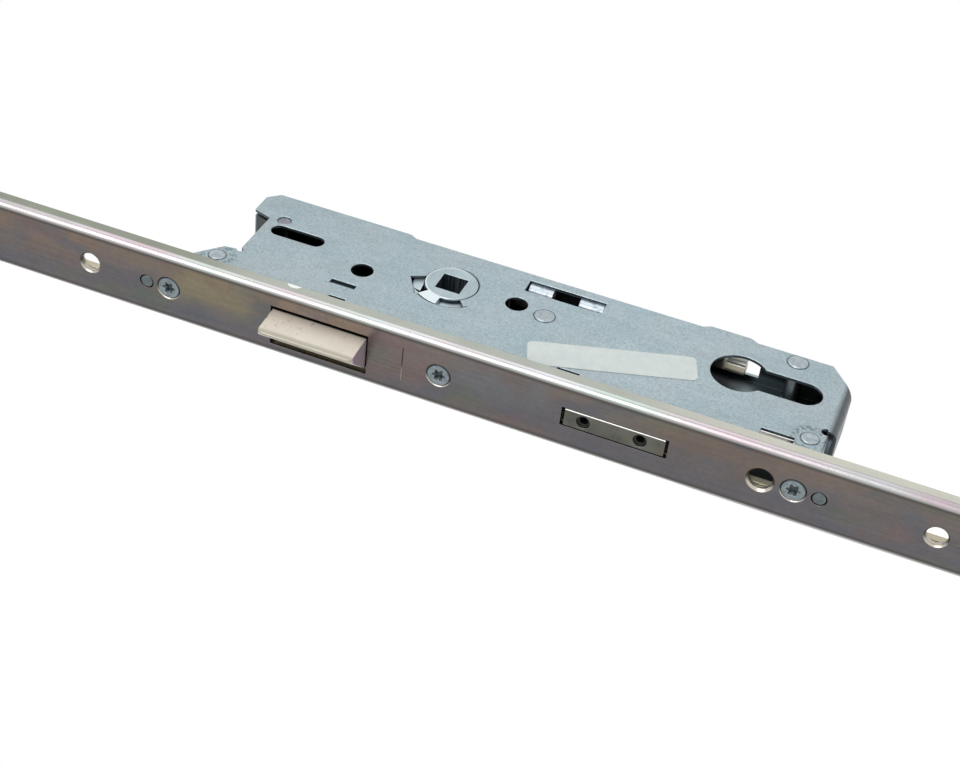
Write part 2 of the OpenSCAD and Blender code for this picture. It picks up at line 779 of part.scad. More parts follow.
// Plan of the latch bolt across the case, strike side towards -Y
latch_plan = [
  [latch_back, latch_y - latch_w / 2],
  [web_front, latch_y - latch_w / 2],
  [web_front - latch_throw, latch_y - latch_w / 2 + latch_taper],
  [web_front - latch_throw, latch_y - latch_w / 2 + latch_taper + latch_nose],
  [web_front, latch_y + latch_w / 2],
  [latch_back, latch_y + latch_w / 2]
];

module latch_bolt() {
  nose = web_front - latch_throw;
  slot_x = latch_back - latch_block * 2 / 3;
  color("Tan") difference() {
    intersection() {
      translate([0, 0, latch_low]) linear_extrude(latch_h) polygon(latch_plan);
      slab(-case_t, case_t) {
        box2([nose + latch_corner_r, latch_low], [latch_back, latch_high]);
        box2([nose, latch_low + latch_corner_r], [latch_back, latch_high - latch_corner_r]);
        for (z = [latch_low + latch_corner_r, latch_high - latch_corner_r]) {
          translate([nose + latch_corner_r, z]) circle(latch_corner_r);
        }
      }
    }
    block([slot_x, -tail_t / 2 - fit_gap, tail_low - fit_gap],
          [latch_back + cut, tail_t / 2 + fit_gap, tail_high + fit_gap]);
    bar_y(-case_t, case_t, guide_pin_r, tail_rivet_at());
    bar_x(slot_x, latch_back + cut, guide_pin_r, spring_z);
  }
}

// Place of the rivet that holds the tail in the latch bolt
function tail_rivet_at() = [latch_back - latch_block / 3, (tail_low + tail_high) / 2];

module latch_tail() {
  hook_half = arm_tip_r + run_gap;
  tail_end = bar_front - run_gap - latch_throw;
  color("BurlyWood") slab(-tail_t / 2, tail_t / 2) difference() {
    box2([latch_back - latch_block * 2 / 3 + fit_gap, tail_low], [tail_end, tail_high]);
    box2([arm_tip_x - hook_half, arm_low_z - run_gap], [arm_tip_x + hook_half, tail_high + cut]);
    translate(tail_rivet_at()) circle(guide_pin_r + fit_gap);
  }
}

module latch_tail_rivet() {
  color("Silver") bar_y(latch_y - latch_w / 2, latch_y + latch_w / 2, guide_pin_r - fit_gap / 2, tail_rivet_at());
}

module latch_spring_guide() {
  x0 = latch_back - latch_block * 2 / 3;
  color("Silver") bar_x(x0, stop_x - latch_throw - run_gap, guide_pin_r - fit_gap / 2, spring_z);
}

// Latch spring: one tube wound along X between the latch block and its stop
spring_x0 = latch_back + spring_wire / 2 + fit_gap;
spring_x1 = stop_x - spring_wire / 2 - fit_gap;
coil_r = (spring_d - spring_wire) / 2;
coil_steps = spring_turns * 8;
tube_sides = 6;
coil_pitch = (spring_x1 - spring_x0) / spring_turns;
function coil_point(i) = [
  spring_x0 + (spring_x1 - spring_x0) * i / coil_steps,
  coil_r * cos(i * 45),
  spring_z + coil_r * sin(i * 45)
];
function ring_point(i, j) = coil_point(i) + spring_wire / 2 * (
  cos(j * 360 / tube_sides) * [0, cos(i * 45), sin(i * 45)] + sin(j * 360 / tube_sides) * [1, 0, 0]
);
coil_gap = min([for (i = [0 : coil_steps - 8], k = [6 : 8])
  norm(coil_point(i + min(k, coil_steps - i)) - coil_point(i))]) - spring_wire;

module latch_spring() {
  points = [for (i = [0 : coil_steps], j = [0 : tube_sides - 1]) ring_point(i, j)];
  sides = [for (i = [0 : coil_steps - 1], j = [0 : tube_sides - 1], half = [0, 1])
    let (a = i * tube_sides + j, b = i * tube_sides + (j + 1) % tube_sides)
    half == 0 ? [a, a + tube_sides, b] : [b, a + tube_sides, b + tube_sides]];
  last = coil_steps * tube_sides;
  ends = concat(
    [for (j = [1 : tube_sides - 2]) [0, j, j + 1]],
    [for (j = [1 : tube_sides - 2]) [last, last + j + 1, last + j]]
  );
  echo("latch spring, least gap between turns", coil_gap);
  color("Silver") polyhedron(points, concat(sides, ends));
}

// Arm from a boss of radius r to a round tip at a given angle from +X
module arm(angle, reach, r) {
  neck = arm_tip_r * 0.65;
  rotate(angle) {
    translate([reach, 0]) circle(arm_tip_r);
    polygon([[0, -r * 0.6], [r, -neck], [reach, -neck], [reach, neck], [r, neck], [0, r * 0.6]]);
  }
}

module spindle_hub() {
  flange_y = -in_y + run_gap;
  color("Silver") difference() {
    union() {
      bar_y(-face_y, face_y, hub_r, [0, 0]);
      bar_y(flange_y, flange_y + plate_t, hub_flange_r, [0, 0]);
      slab(-face_y, flange_y) intersection() {
        circle(hub_flange_r - run_gap);
        wedge(lobe[0], lobe[1]);
      }
      slab(-tail_t / 2, tail_t / 2) arm(-hub_turn / 2, pull_arm, hub_r);
    }
    slab(-case_t, case_t) square(spindle_sq, center = true);
  }
}

// Lever that turns the change bar's lift into the latch's pull, with a lobe that balances its arms
module latch_lever() {
  boss_r = pivot_r * 2;
  color("BurlyWood") {
    slab(-tail_t / 2, tail_t / 2) translate([0, lever_z]) difference() {
      union() {
        circle(boss_r);
        arm(-90 - hub_turn / 2, arm_reach, boss_r);
        arm(-hub_turn / 2, pull_arm, boss_r);
      }
      circle(pivot_r + fit_gap);
    }
    slab(-tail_t / 2, in_y - 2 * run_gap) translate([0, lever_z]) difference() {
      intersection() {
        circle(balance_r);
        wedge(balance[0], balance[1]);
      }
      circle(collar + run_gap);
    }
  }
}

module lever_pivot() {
  color("Silver") {
    bar_y(-tail_t / 2 - plate_t, in_y, pivot_r, [0, lever_z]);
    bar_y(tail_t / 2 + fit_gap, in_y, collar, [0, lever_z]);
  }
}

// Bar along the back wall that joins hub, key and latch lever
module change_bar() {
  hook_half = arm_tip_r + run_gap;
  hook_x = pull_arm + arm_tip_r + run_gap;
  top = lever_z + pull_tip_z + hook_half + 2 * arm_tip_r;
  nick = foot_h / 4;
  color("BurlyWood") {
    slab(-bar_t / 2, bar_t / 2) difference() {
      box2([bar_front, foot_z], [bar_back, top]);
      for (z = [pull_tip_z, lever_z + pull_tip_z]) {
        box2([bar_front - cut, z - hook_half], [hook_x, z + hook_half]);
      }
    }
    translate([bar_front, 0, foot_z]) linear_extrude(foot_h) polygon([
      [0, -foot_w / 2 + nick],
      [nick, -foot_w / 2],
      [bar_w, -foot_w / 2],
      [bar_w, foot_w / 2],
      [nick, foot_w / 2],
      [0, foot_w / 2 - nick]
    ]);
  }
}

module drive_rod() {
  color("Khaki") sheet(rod_front, rod_back) difference() {
    box2([-rod_w / 2, -rod_bottom], [rod_w / 2, rod_top]);
    for (z = [fix_top, -fix_bottom, cylinder_screw_z]) stadium(0, z - stroke, z + slot_over, screw_slot_r);
    stadium(0, screw_top - stroke, rivet_top, boss_slot_r);
    stadium(0, -screw_mid - stroke, -screw_mid, boss_slot_r);
    stadium(0, rivet_low - stroke, -screw_low, boss_slot_r);
    box2([latch_y - latch_w / 2 - run_gap, latch_low - stroke - run_gap],
         [latch_y + latch_w / 2 + run_gap, latch_high + latch_gap]);
    box2([-bolt_w / 2 - run_gap, bolt_bottom - stroke - run_gap], [bolt_w / 2 + run_gap, bolt_top + bolt_gap]);
    box2([-bolt_w / 2, lug_low], [bolt_w / 2, lug_high]);
    for (z = [rod_top - coupling_in, -rod_bottom + coupling_in]) translate([0, z]) circle(d = coupling_d);
  }
}

// Folded slide: a flange each side of the deadbolt, joined at the front and keyed into the drive rod
module lock_slide() {
  color("BurlyWood") {
    slab(-slide_out, -slide_in) rack_flange();
    slab(slide_in, slide_out) difference() {
      union() {
        box2([slide_front, slant_end[1] - slot_round], [strip_back, slide_top]);
        slanted(slot_round);
      }
      slanted(slot_half);
    }
    block([slide_front, -slide_in, lug_low], [slide_front + slide_t, slide_in, slide_top]);
    block([rod_front, -bolt_w / 2, lug_low], [slide_front, bolt_w / 2, lug_high]);
  }
}

// Straight slot at 45 degrees that drives the deadbolt, a hair narrower along its length than at its ends
module slanted(r) {
  q = r - fit_gap / 3;
  translate([drive_pin_x, drive_pin_z]) circle(r);
  translate(slant_end) circle(r);
  translate([drive_pin_x, drive_pin_z]) rotate(-135) translate([0, -q]) square([stroke * sqrt(2), 2 * q]);
}

// Front flange of the slide with a rack along its rear edge
module rack_flange() {
  half = rack_pitch / 4 - backlash;
  lean = tan(gear_angle);
  root_x = rack_x - gear_module - run_gap;
  box2([slide_front, rack_low], [root_x, slide_top]);
  for (z = [gear_z + rack_pitch / 2 : -rack_pitch : rack_low + rack_pitch / 2]) {
    polygon([
      [root_x - cut, z - half - (rack_x - root_x) * lean],
      [root_x, z - half - (rack_x - root_x) * lean],
      [rack_x + rack_tip, z - half + rack_tip * lean],
      [rack_x + rack_tip, z + half - rack_tip * lean],
      [root_x, z + half + (rack_x - root_x) * lean],
      [root_x - cut, z + half + (rack_x - root_x) * lean]
    ]);
  }
}

// Involute flank: angle that a tooth's half width spans at radius r
function involute(r) = r <= base_r ? 0 : tan(acos(base_r / r)) * 180 / PI - acos(base_r / r);
pitch_half = 90 / gear_teeth - backlash / pitch_r * 180 / PI + involute(pitch_r);
function flank_angle(r) = pitch_half - involute(r);
flank_radii = [gear_root_r, max(base_r, gear_root_r), (base_r + pitch_r) / 2, pitch_r,
               (pitch_r + gear_tip_r) / 2, gear_tip_r];

module gear_outline() {
  steps = len(flank_radii) - 1;
  polygon([for (t = [0 : gear_teeth - 1], i = [0 : 2 * steps + 1])
    let (k = i <= steps ? i : 2 * steps + 1 - i,
         r = flank_radii[k],
         a = 180 + t * 360 / gear_teeth + (i <= steps ? -1 : 1) * flank_angle(r))
    [r * cos(a), r * sin(a)]]);
}

rivet_ring = (arbor_r + gear_root_r) / 2 + fit_gap;
function gear_rivet_at(i) = [gear_x + rivet_ring * cos(i * 120), gear_z + rivet_ring * sin(i * 120)];

module rack_gear() {
  color("DarkKhaki") slab(-slide_out, -slide_in) difference() {
    translate([gear_x, gear_z]) gear_outline();
    translate([gear_x, gear_z]) circle(arbor_r + fit_gap);
    for (i = [0 : 2]) translate(gear_rivet_at(i)) circle(arbor_r / 3);
  }
}

// Wheel behind the gear with two notches for the cylinder's cam
module cam_wheel() {
  notch_w = cam_r / 2;
  color("DarkKhaki") slab(-slide_in, wheel_half) difference() {
    translate([gear_x, gear_z]) circle(cam_r);
    translate([gear_x, gear_z]) circle(arbor_r + fit_gap);
    for (i = [0 : 2]) translate(gear_rivet_at(i)) circle(arbor_r / 3);
    translate([gear_x, gear_z]) for (a = [-35, -155]) rotate(a) {
      box2([cam_r * 0.68, -notch_w / 2], [cam_r + cut, notch_w / 2]);
    }
  }
}

module gear_rivets() {
  color("Silver") for (i = [0 : 2]) bar_y(-slide_out, wheel_half, arbor_r / 3 - fit_gap / 2, gear_rivet_at(i));
}

module deadbolt() {
  sink = (hard_sink_d - hard_pin_d) / 2;
  tail_end = drive_pin_x + drive_pin_r + slot_wall;
  color("DimGray") difference() {
    union() {
      block([web_front, -bolt_w / 2, bolt_bottom], [bolt_back, bolt_w / 2, bolt_top]);
      block([bolt_back - cut, -bolt_w / 2, drive_pin_z - bolt_tail_h / 2],
            [tail_end, bolt_w / 2, drive_pin_z + bolt_tail_h / 2]);
    }
    for (z = hard_pin_heights) {
      bar_x(web_front - cut, bolt_back - bolt_w / 2, hard_pin_d / 2, z);
      bar_x(web_front - cut, web_front + sink, hard_sink_d / 2, z);
    }
    bar_y(-case_t, case_t, drive_pin_r + fit_gap / 2, [drive_pin_x, drive_pin_z]);
  }
}

hard_pin_heights = [for (s = [1, -1]) bolt_z + hard_pin_rise + s * hard_pin_gap / 2];

module deadbolt_drive_pin() {
  color("Silver") bar_y(-bolt_w / 2, slide_out, drive_pin_r, [drive_pin_x, drive_pin_z]);
}

module deadbolt_hard_pins() {
  color("SlateGray") for (z = hard_pin_heights) {
    bar_x(web_front + 2 * hard_pin_d, bolt_back - bolt_w / 2, hard_pin_d / 2 - fit_gap / 2, z);
  }
}

rear_case_shell();
cover_plate();
faceplate_rail();
case_screws();
flush_rivets();
upper_fixing_block();
middle_fixing_block();
lower_fixing_block();
spacing_posts();
gear_arbor();
spring_stop();
bar_guide_pins();
lever_pivot();
blank_label();
latch_bolt();
latch_tail();
latch_tail_rivet();
latch_spring_guide();
latch_spring();
spindle_hub();
latch_lever();
change_bar();
drive_rod();
lock_slide();
deadbolt();
deadbolt_drive_pin();
deadbolt_hard_pins();
rack_gear();
cam_wheel();
gear_rivets();
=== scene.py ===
"""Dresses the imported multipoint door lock: the case, its faceplate rail and the working parts inside."""

import json
import logging
import math
from dataclasses import dataclass
from enum import Enum
from typing import Any

import bmesh
import bpy
from mathutils import Matrix, Vector


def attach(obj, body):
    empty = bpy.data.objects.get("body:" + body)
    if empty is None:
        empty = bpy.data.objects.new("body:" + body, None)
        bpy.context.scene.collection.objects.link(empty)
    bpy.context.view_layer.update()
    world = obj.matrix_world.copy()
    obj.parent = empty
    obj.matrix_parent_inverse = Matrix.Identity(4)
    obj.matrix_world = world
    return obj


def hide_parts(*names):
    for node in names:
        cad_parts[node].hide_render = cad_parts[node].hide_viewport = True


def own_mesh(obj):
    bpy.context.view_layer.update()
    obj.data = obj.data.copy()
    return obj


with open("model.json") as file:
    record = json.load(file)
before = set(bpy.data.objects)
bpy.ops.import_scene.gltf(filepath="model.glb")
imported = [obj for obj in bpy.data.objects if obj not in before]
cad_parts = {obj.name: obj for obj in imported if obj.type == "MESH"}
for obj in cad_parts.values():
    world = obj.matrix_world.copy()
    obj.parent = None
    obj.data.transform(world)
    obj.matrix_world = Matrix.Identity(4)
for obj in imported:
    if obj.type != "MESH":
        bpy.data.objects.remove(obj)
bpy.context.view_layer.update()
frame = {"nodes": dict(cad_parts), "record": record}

MM = 0.001
LOG = logging.getLogger("door_lock")
Triple = tuple[float, float, float]
WHITE = (1.0, 1.0, 1.0, 1.0)
# Points closer than this, in metres, are one point
MERGE = 0.002 * MM
# Least angle between two faces at which their edge is rounded off
SHARP = math.radians(28.0)
# A radius so long that its axis drops out of a distance
ENDLESS = 1e6


class Slot(Enum):
    """Material slots of the part's record."""

    SHEET = "galvanised_sheet"
    RAIL = "passivated_rail"
    FIXINGS = "zinc_fixings"
    CASTING = "zinc_casting"
    LABEL = "label_film"
    NICKEL = "nickel"
    PASSIVATED = "passivated_steel"
    SPRING = "spring_steel"
    BOLT = "bolt_steel"


class Side(Enum):
    """The two faces of the case, by the sign of Y."""

    COVER = -1.0
    REAR = 1.0


NODE_SLOT = {row["node"]: Slot(row["material_slot"]) for row in frame["record"]["subparts"]}
NODE_BODY = {
    node: body
    for body, members in frame["record"]["behaviour"]["bodies"].items()
    for node in members
}


def hex_rgb(code: str) -> tuple[float, float, float, float]:
    """Turns an sRGB hex colour into linear values.

    Args:
        code: Colour as "#rrggbb".

    Returns:
        Linear red, green, blue and an alpha of 1.
    """
    parts = [int(code[i:i + 2], 16) / 255 for i in (1, 3, 5)]
    linear = [p / 12.92 if p <= 0.04045 else ((p + 0.055) / 1.055) ** 2.4 for p in parts]
    return (linear[0], linear[1], linear[2], 1.0)


def add(
    tree: bpy.types.NodeTree,
    kind: str,
    links: dict[str | int, Any] | None = None,
    **settings: Any,
) -> bpy.types.Node:
    """Adds one node with its settings and its inputs.

    Args:
        tree: Node tree that takes the node.
        kind: Blender's name of the node type.
        links: Input name or number to the socket or value that feeds it.
        **settings: Properties set on the node itself.

    Returns:
        The new node.
    """
    made = tree.nodes.new(kind)
    for name, value in settings.items():
        setattr(made, name, value)
    for socket, value in (links or {}).items():
        if isinstance(value, bpy.types.NodeSocket):
            tree.links.new(value, made.inputs[socket])
        else:
            made.inputs[socket].default_value = value
    return made


class Surface:
    """A node material in the making: coordinates in millimetres and the colour laid down so far."""

    def __init__(self, name: str, base: str, metallic: float, **sockets: float) -> None:
        """Starts a material with one principled shader.

        Args:
            name: Name of the real material.
            base: Colour of the bare surface.
            metallic: Share of bare metal in the reflection.
            **sockets: Further values set on the shader, underscores for spaces.
        """
        self.material = bpy.data.materials.new(name)
        self.material.use_nodes = True
        self.tree = self.material.node_tree
        self.tree.nodes.clear()
        self.shader = add(self.tree, "ShaderNodeBsdfPrincipled", {"Metallic": metallic})
        for socket, value in sockets.items():
            self.shader.inputs[socket.replace("_", " ")].default_value = value
        add(self.tree, "ShaderNodeOutputMaterial", {"Surface": self.shader.outputs[0]})
        where = add(self.tree, "ShaderNodeTexCoord")
        scaled = {0: where.outputs["Object"], 1: (1 / MM, 1 / MM, 1 / MM)}
        self.mm = add(self.tree, "ShaderNodeVectorMath", scaled, operation="MULTIPLY").outputs[0]
        split = add(self.tree, "ShaderNodeSeparateXYZ", {0: self.mm})
        self.x, self.y, self.z = split.outputs[0], split.outputs[1], split.outputs[2]
        self.depth = add(self.tree, "ShaderNodeMath", {0: self.y}, operation="ABSOLUTE").outputs[0]
        self.colour: Any = hex_rgb(base)

    def patches(
        self,
        size: float,
        low: float,
        high: float,
        detail: float = 2.0,
        stretch: Triple = (1.0, 1.0, 1.0),
    ) -> bpy.types.NodeSocket:
        """A value that drifts from patch to patch.

        Args:
            size: Width of a patch in millimetres.
            low: Value in the darkest patches.
            high: Value in the lightest patches.
            detail: Levels of finer patches inside.
            stretch: Squeeze of the pattern along each axis.

        Returns:
            Socket of the value.
        """
        place = add(self.tree, "ShaderNodeVectorMath", {0: self.mm, 1: stretch}, operation="MULTIPLY")
        noise = add(self.tree, "ShaderNodeTexNoise",
                    {"Vector": place.outputs[0], "Scale": 1.0 / size, "Detail": detail})
        spread = {0: noise.outputs[0], 1: 0.3, 2: 0.7, 3: low, 4: high}
        return add(self.tree, "ShaderNodeMapRange", spread).outputs[0]

    def reach(self, centre: Triple, radii: Triple) -> bpy.types.NodeSocket:
        """Distance from a point, counted in the given radii.

        Args:
            centre: Point in millimetres.
            radii: Length along each axis that counts as 1.

        Returns:
            Socket of the distance.
        """
        away = add(self.tree, "ShaderNodeVectorMath", {0: self.mm, 1: centre}, operation="SUBTRACT")
        counted = add(self.tree, "ShaderNodeVectorMath", {0: away.outputs[0], 1: radii}, operation="DIVIDE")
        length = add(self.tree, "ShaderNodeVectorMath", {0: counted.outputs[0]}, operation="LENGTH")
        return length.outputs["Value"]

    def band(
        self,
        along: bpy.types.NodeSocket,
        rise: tuple[float, float],
        fall: tuple[float, float] | None = None,
    ) -> bpy.types.NodeSocket:
        """A mask that rises smoothly to 1 and may fall to 0 again.

        Args:
            along: Coordinate that is followed.
            rise: Places where the mask is 0 and where it has reached 1.
            fall: Places where the mask leaves 1 and where it is 0 again.

        Returns:
            Socket of the mask.
        """
        mask: Any = 1.0
        for ramp, ends in ((rise, (0.0, 1.0)), (fall, (1.0, 0.0))):
            if ramp:
                spread = {0: along, 1: ramp[0], 2: ramp[1], 3: ends[0], 4: ends[1]}
                step = add(self.tree, "ShaderNodeMapRange", spread, interpolation_type="SMOOTHSTEP")
                factors = {0: step.outputs[0], 1: mask}
                mask = add(self.tree, "ShaderNodeMath", factors, operation="MULTIPLY").outputs[0]
        return mask

    def lay(self, over: Any, *masks: Any) -> None:
        """Lays a colour over what is there, as strongly as all the masks allow.

        Args:
            over: Hex colour or socket of a colour.
            *masks: Sockets or values between 0 and 1, multiplied together.
        """
        share: Any = 1.0
        for mask in masks:
            share = add(self.tree, "ShaderNodeMath", {0: share, 1: mask}, operation="MULTIPLY").outputs[0]
        top = hex_rgb(over) if isinstance(over, str) else over
        sockets = {0: share, 6: self.colour, 7: top}
        self.colour = add(self.tree, "ShaderNodeMix", sockets, data_type="RGBA").outputs[2]

    def shade(self, value: bpy.types.NodeSocket) -> None:
        """Makes the colour lighter or darker.

        Args:
            value: Socket of the factor.
        """
        sockets = {0: 1.0, 6: self.colour, 7: value}
        mixed = add(self.tree, "ShaderNodeMix", sockets, data_type="RGBA", blend_type="MULTIPLY")
        self.colour = mixed.outputs[2]

    def finish(self, roughness: Any, height: bpy.types.NodeSocket, relief: float) -> bpy.types.Material:
        """Links the colour and the patterns to the shader.

        Args:
            roughness: Roughness of the surface.
            height: Fine relief between 0 and 1.
            relief: Depth of that relief in millimetres.

        Returns:
            The finished material.
        """
        bump = add(self.tree, "ShaderNodeBump", {"Height": height, "Distance": relief * MM, "Strength": 1.0})
        wired = (("Base Color", self.colour), ("Roughness", roughness), ("Normal", bump.outputs[0]))
        for socket, value in wired:
            self.tree.links.new(value, self.shader.inputs[socket])
        return self.material


@dataclass(frozen=True)
class GalvanisedSheet:
    """Zinc-coated sheet steel, rolled: a pale blue-grey with a fine sparkle and soft clouds."""

    name: str = "galvanised_steel_sheet"
    cool: str = "#a0b3b9"
    warm: str = "#a9b6bb"
    dark: str = "#76858b"
    crevice_shade: str = "#37424a"
    sheared: str = "#4a545a"
    inside: str = "#1f2326"
    rear_face: str = "#849095"
    straw: str = "#f2f2e6"
    leg: str = "#5c676c"
    lit: str = "#a9bcc4"
    rolled: str = "#bac3ca"
    rolled_dull: str = "#99a4ab"
    end_wall: str = "#54585b"
    ear_wall: str = "#494c4e"
    stakes: tuple[tuple[float, float], ...] = ((-21.6, 69.2), (-19.8, -118.0))
    heads: tuple[tuple[float, float], ...] = ((-1.9, -31.1), (13.6, -106.6))

    def material(self) -> bpy.types.Material:
        """Builds the finish: clouds, sparkle, specks, painted shade in rings, on the walls and inside, and
        painted light on inner faces.

        Returns:
            The material.
        """
        s = Surface(self.name, self.cool, 0.72)
        # Clouds of the zinc bath, about 14 mm across; the colour grows lighter down to Z -65 and darker again
        # towards the lower end
        s.lay(self.warm, s.patches(14.0, 0.0, 1.0, 3.0))
        for high, low, first, last in ((66.0, -65.0, 0.925, 1.05), (-72.0, -112.0, 1.0, 0.94)):
            slope = {0: s.z, 1: high, 2: low, 3: first, 4: last}
            s.shade(add(s.tree, "ShaderNodeMapRange", slope).outputs[0])
        # Crystal sparkle of 0.6 mm, drawn a little coarser than the real one so that it shows
        grain = s.patches(0.6, 0.86, 1.1, 1.0)
        s.shade(grain)
        # Wisps of 3 mm drawn out along the rolling direction
        s.shade(s.patches(3.0, 0.95, 1.04, 3.0, (1.0, 1.0, 0.35)))
        # Sparse dark handling specks of 0.7 mm
        s.lay(self.dark, s.band(s.patches(0.7, 0.0, 1.0), (0.84, 1.0)), 0.7)
        # Painted shade in the crevice round each riveted head, and the peened stake marks around the tab
        # rivets
        for x, z in self.stakes:
            out = s.reach((x, 0.0, z), (1.0, ENDLESS, 1.0))
            s.lay(self.crevice_shade, s.band(out, (2.5, 2.6), (2.8, 3.2)), s.patches(0.9, 0.3, 1.0))
            peened = s.band(s.patches(0.9, 0.0, 1.0), (0.4, 0.75))
            s.lay(self.dark, s.band(out, (3.4, 4.0), (5.2, 6.4)), peened)
        for x, z in self.heads:
            out = s.reach((x, 0.0, z), (1.0, ENDLESS, 1.0))
            s.lay(self.crevice_shade, s.band(out, (2.95, 3.1), (3.3, 3.7)), s.patches(1.4, 0.5, 1.0))
        # Painted shade along the rim of the hub's hole and of the arc beside it
        out, front = s.reach((0.0, 0.0, 0.0), (1.0, ENDLESS, 1.0)), s.band(s.y, (-7.0, -7.2))
        s.lay(self.crevice_shade, s.band(out, (8.3, 8.42), (8.6, 8.9)), s.band(s.z, (3.0, -2.0)), front, 0.8)
        s.lay(self.crevice_shade, s.band(out, (12.0, 12.1), (12.4, 12.7)), s.band(s.x, (-8.4, -9.2)), front, 0.9)
        # Sheared edges and walls of the sheet: bare dull steel, darkened further with painted shade
        s.lay(self.sheared, s.band(s.depth, (6.5, 6.6), (7.28, 7.36)), s.band(s.x, (17.3, 17.25)))
        # The end wall turns away from the light below its bend, and the ear's wall stands in the shade
        s.lay(self.end_wall, s.band(s.z, (-121.4, -123.8)))
        s.lay(self.ear_wall, s.band(s.z, (64.9, 65.1), (70.2, 70.5)), s.band(s.y, (-6.3, -6.0), (6.4, 6.5)),
              s.band(s.x, (16.6, 16.2)))
        # Painted shade on the inside of the case
        within = (s.band(s.depth, (6.7, 6.6)), s.band(s.x, (16.34, 16.26)),
                  s.band(s.z, (-123.92, -123.85), (63.44, 63.55)))
        s.lay(self.inside, *within)
        # Painted light on inner faces that are seen through the openings
        rear = s.band(s.y, (6.3, 6.35), (6.45, 6.5))
        s.lay(self.rear_face, rear, s.band(s.reach((8.6, 6.4, -95.0), (1.0, 1.0, 1.0)), (10.0, 1.5)))
        s.lay(self.straw, rear, s.band(s.reach((-6.0, 6.4, -106.0), (4.2, 1.0, 6.0)), (1.1, 0.8)))
        s.lay(self.leg, s.band(s.x, (11.0, 13.0)), s.band(s.z, (-93.0, -96.0), (-104.0, -107.0)),
              s.band(s.y, (2.0, 4.0)), *within)
        s.lay(self.lit, rear, s.band(s.z, (-120.6, -121.6)), s.band(s.x, (1.5, -1.5)))
        s.lay(self.lit, rear, s.band(s.x, (-4.0, -3.0), (9.4, 10.4)), s.band(s.z, (29.0, 30.5), (39.5, 41.0)))
        # The two rolled tabs behind the window, bright with dull patches
        tabs = (s.band(s.y, (-1.6, -1.9)), s.band(s.x, (10.4, 10.7), (15.9, 16.1)),
                s.band(s.z, (-46.3, -46.1), (-20.6, -20.4)), within[0])
        s.lay(self.rolled, *tabs)
        s.lay(self.rolled_dull, s.band(s.patches(1.8, 0.0, 1.0), (0.4, 0.9)), *tabs)
        return s.finish(s.patches(3.0, 0.32, 0.46), grain, 0.008)


@dataclass(frozen=True)
class FilmTint:
    """A stretch of the rail where the passivation film leans to one colour."""

    centre: float
    half: float
    tint: str
    strength: float


